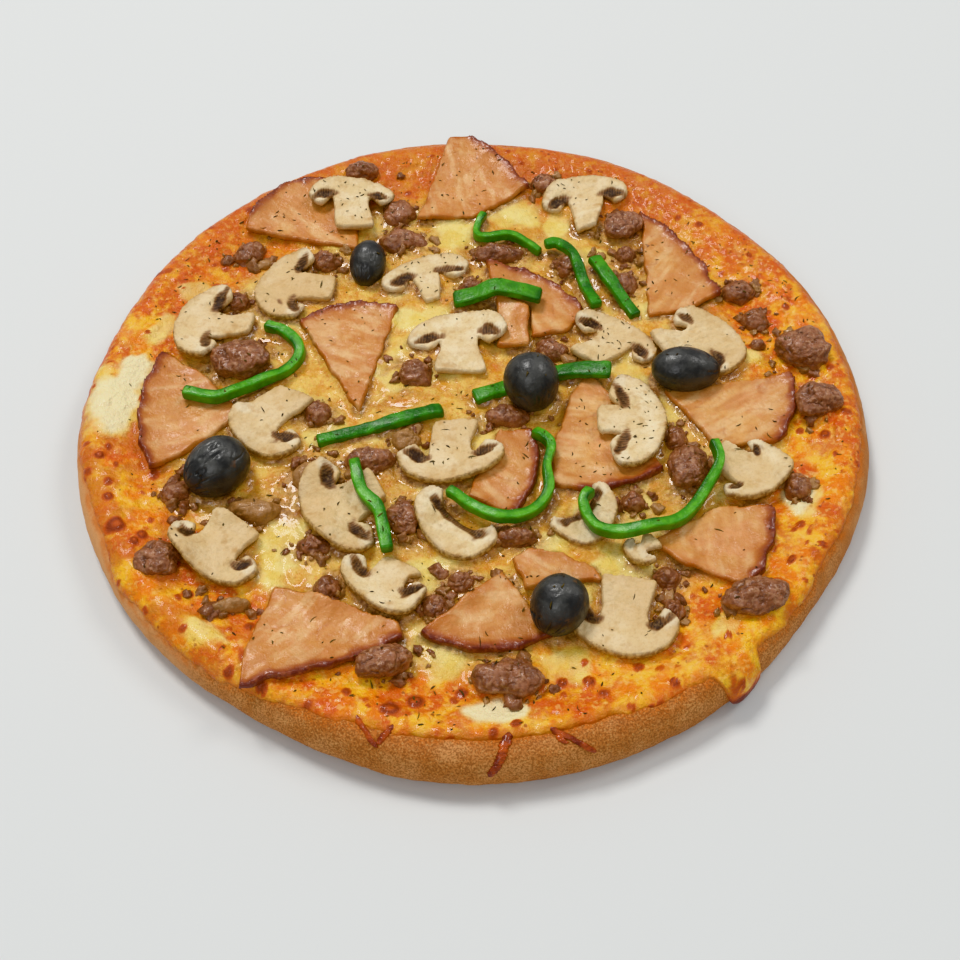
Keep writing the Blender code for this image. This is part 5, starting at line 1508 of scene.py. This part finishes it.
def make_herbs(finish, source):
    """Dried herbs: flat bits 0.8 to 3.5 mm long that lie on whatever is on top, denser in some places."""
    places = source.uniform(-146, 146, (HERB_COUNT * 3, 2))
    dense = 0.5 + 0.5 * layered_noise(places, 30.0, 91, 2)
    for x, y, radius in ((57, 24, 15), (54, -14, 14), (-50, 106, 14), (-6, 62, 12), (20, -92, 12)):
        dense = dense + 1.4 * np.exp(-(np.linalg.norm(places - (x, y), axis=1) / radius) ** 2)
    keep = (np.linalg.norm(places, axis=1) < 141) & (source.uniform(0, 1.1, len(places)) < dense)
    places = places[keep][:HERB_COUNT]
    levels = sample(tops, (-TOPS_HALF, -TOPS_HALF), TOPS_PITCH, places[:, 0], places[:, 1])
    slope_y, slope_x = np.gradient(averaged(tops, 1), TOPS_PITCH)
    tilt_x = sample(slope_x, (-TOPS_HALF, -TOPS_HALF), TOPS_PITCH, places[:, 0], places[:, 1])
    tilt_y = sample(slope_y, (-TOPS_HALF, -TOPS_HALF), TOPS_PITCH, places[:, 0], places[:, 1])
    level = np.hypot(tilt_x, tilt_y) < 0.9
    places, levels, tilt_x, tilt_y = (values[level] for values in (places, levels, tilt_x, tilt_y))
    length = source.gamma(1.7, 0.55, len(places)) + 0.5
    width = source.uniform(0.28, 0.7, len(places))
    heading = source.uniform(0, 2 * math.pi, len(places))
    bow = source.uniform(-0.35, 0.35, len(places))
    along = np.array((-1.0, -0.3, 0.4, 1.0))
    section = np.array(((1.0, 0.0), (0.0, 0.5), (-1.0, 0.0), (0.0, -0.5)))
    narrow = np.array((0.25, 1.0, 0.8, 0.2))
    u = along[None, :, None] * (length / 2)[:, None, None] * np.ones((1, 1, 4))
    v = section[:, 0][None, None] * (width / 2)[:, None, None] * narrow[None, :, None]
    v = v + (along ** 2)[None, :, None] * (bow * length / 2)[:, None, None]
    w = section[:, 1][None, None] * 0.22 * narrow[None, :, None] + 0.12
    c, s = np.cos(heading)[:, None, None], np.sin(heading)[:, None, None]
    x, y = u * c - v * s, u * s + v * c
    z = w + x * tilt_x[:, None, None] + y * tilt_y[:, None, None] + levels[:, None, None]
    x, y = x + places[:, 0][:, None, None], y + places[:, 1][:, None, None]
    points = np.stack([x, y, z], -1).reshape(-1, 3)
    one = grid_faces(4, 4, True)
    ends = np.array(((3, 2, 1, 0), (12, 13, 14, 15)))
    faces = np.concatenate([one, ends])
    faces = (faces[None] + (np.arange(len(places)) * 16)[:, None, None]).reshape(-1, 4)
    return add_piece("dried_herbs", points, faces, finish, ())


def topping_footprint():
    """Share of each cell's surroundings, 0 to 1, that lies under a topping, from the CAD nodes' tops."""
    under = np.zeros((2 * TOPS_HALF + 1, 2 * TOPS_HALF + 1))
    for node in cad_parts:
        if node in ("crust", "cheese"):
            continue
        low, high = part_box(node)
        first = [int(math.floor(low[k] / MM)) for k in (0, 1)]
        last = [int(math.ceil(high[k] / MM)) for k in (0, 1)]
        x, y = np.meshgrid(np.arange(first[0], last[0] + 1.0), np.arange(first[1], last[1] + 1.0))
        hit = np.isfinite(cad_heights(cad_tree(node), x, y, False))
        rows, columns = y[hit].astype(int) + TOPS_HALF, x[hit].astype(int) + TOPS_HALF
        under[rows, columns] = 1.0
    return averaged(under, 3)


def main():
    """Set the studio, then make the pizza from the dough up."""
    set_camera()
    set_studio()
    make_crust(crust_material())
    melted = cheese_material()
    cheese = make_cheese(melted, topping_footprint())
    make_drips(melted)
    cheese_tree = BVHTree.FromObject(cheese, bpy.context.evaluated_depsgraph_get())
    meat = meat_material()
    source = np.random.default_rng(12)
    make_crumbs(meat, cheese_tree)
    make_bits(meat, cheese_tree, source)
    ham = ham_material()
    for number, one in enumerate(HAMS, 1):
        make_ham(number, one, ham)
    for number, chunk in enumerate(MEAT, 1):
        make_meat(number, chunk, meat)
    flesh = mushroom_material()
    for number, one in enumerate(MUSHROOMS, 1):
        make_mushroom(number, one, flesh)
    green = pepper_material()
    for number, one in enumerate(PEPPERS, 1):
        make_pepper(number, one, green)
    black = olive_material()
    for number, one in enumerate(OLIVES, 1):
        make_olive(number, one, black)
    make_herbs(herb_material(), source)


main()
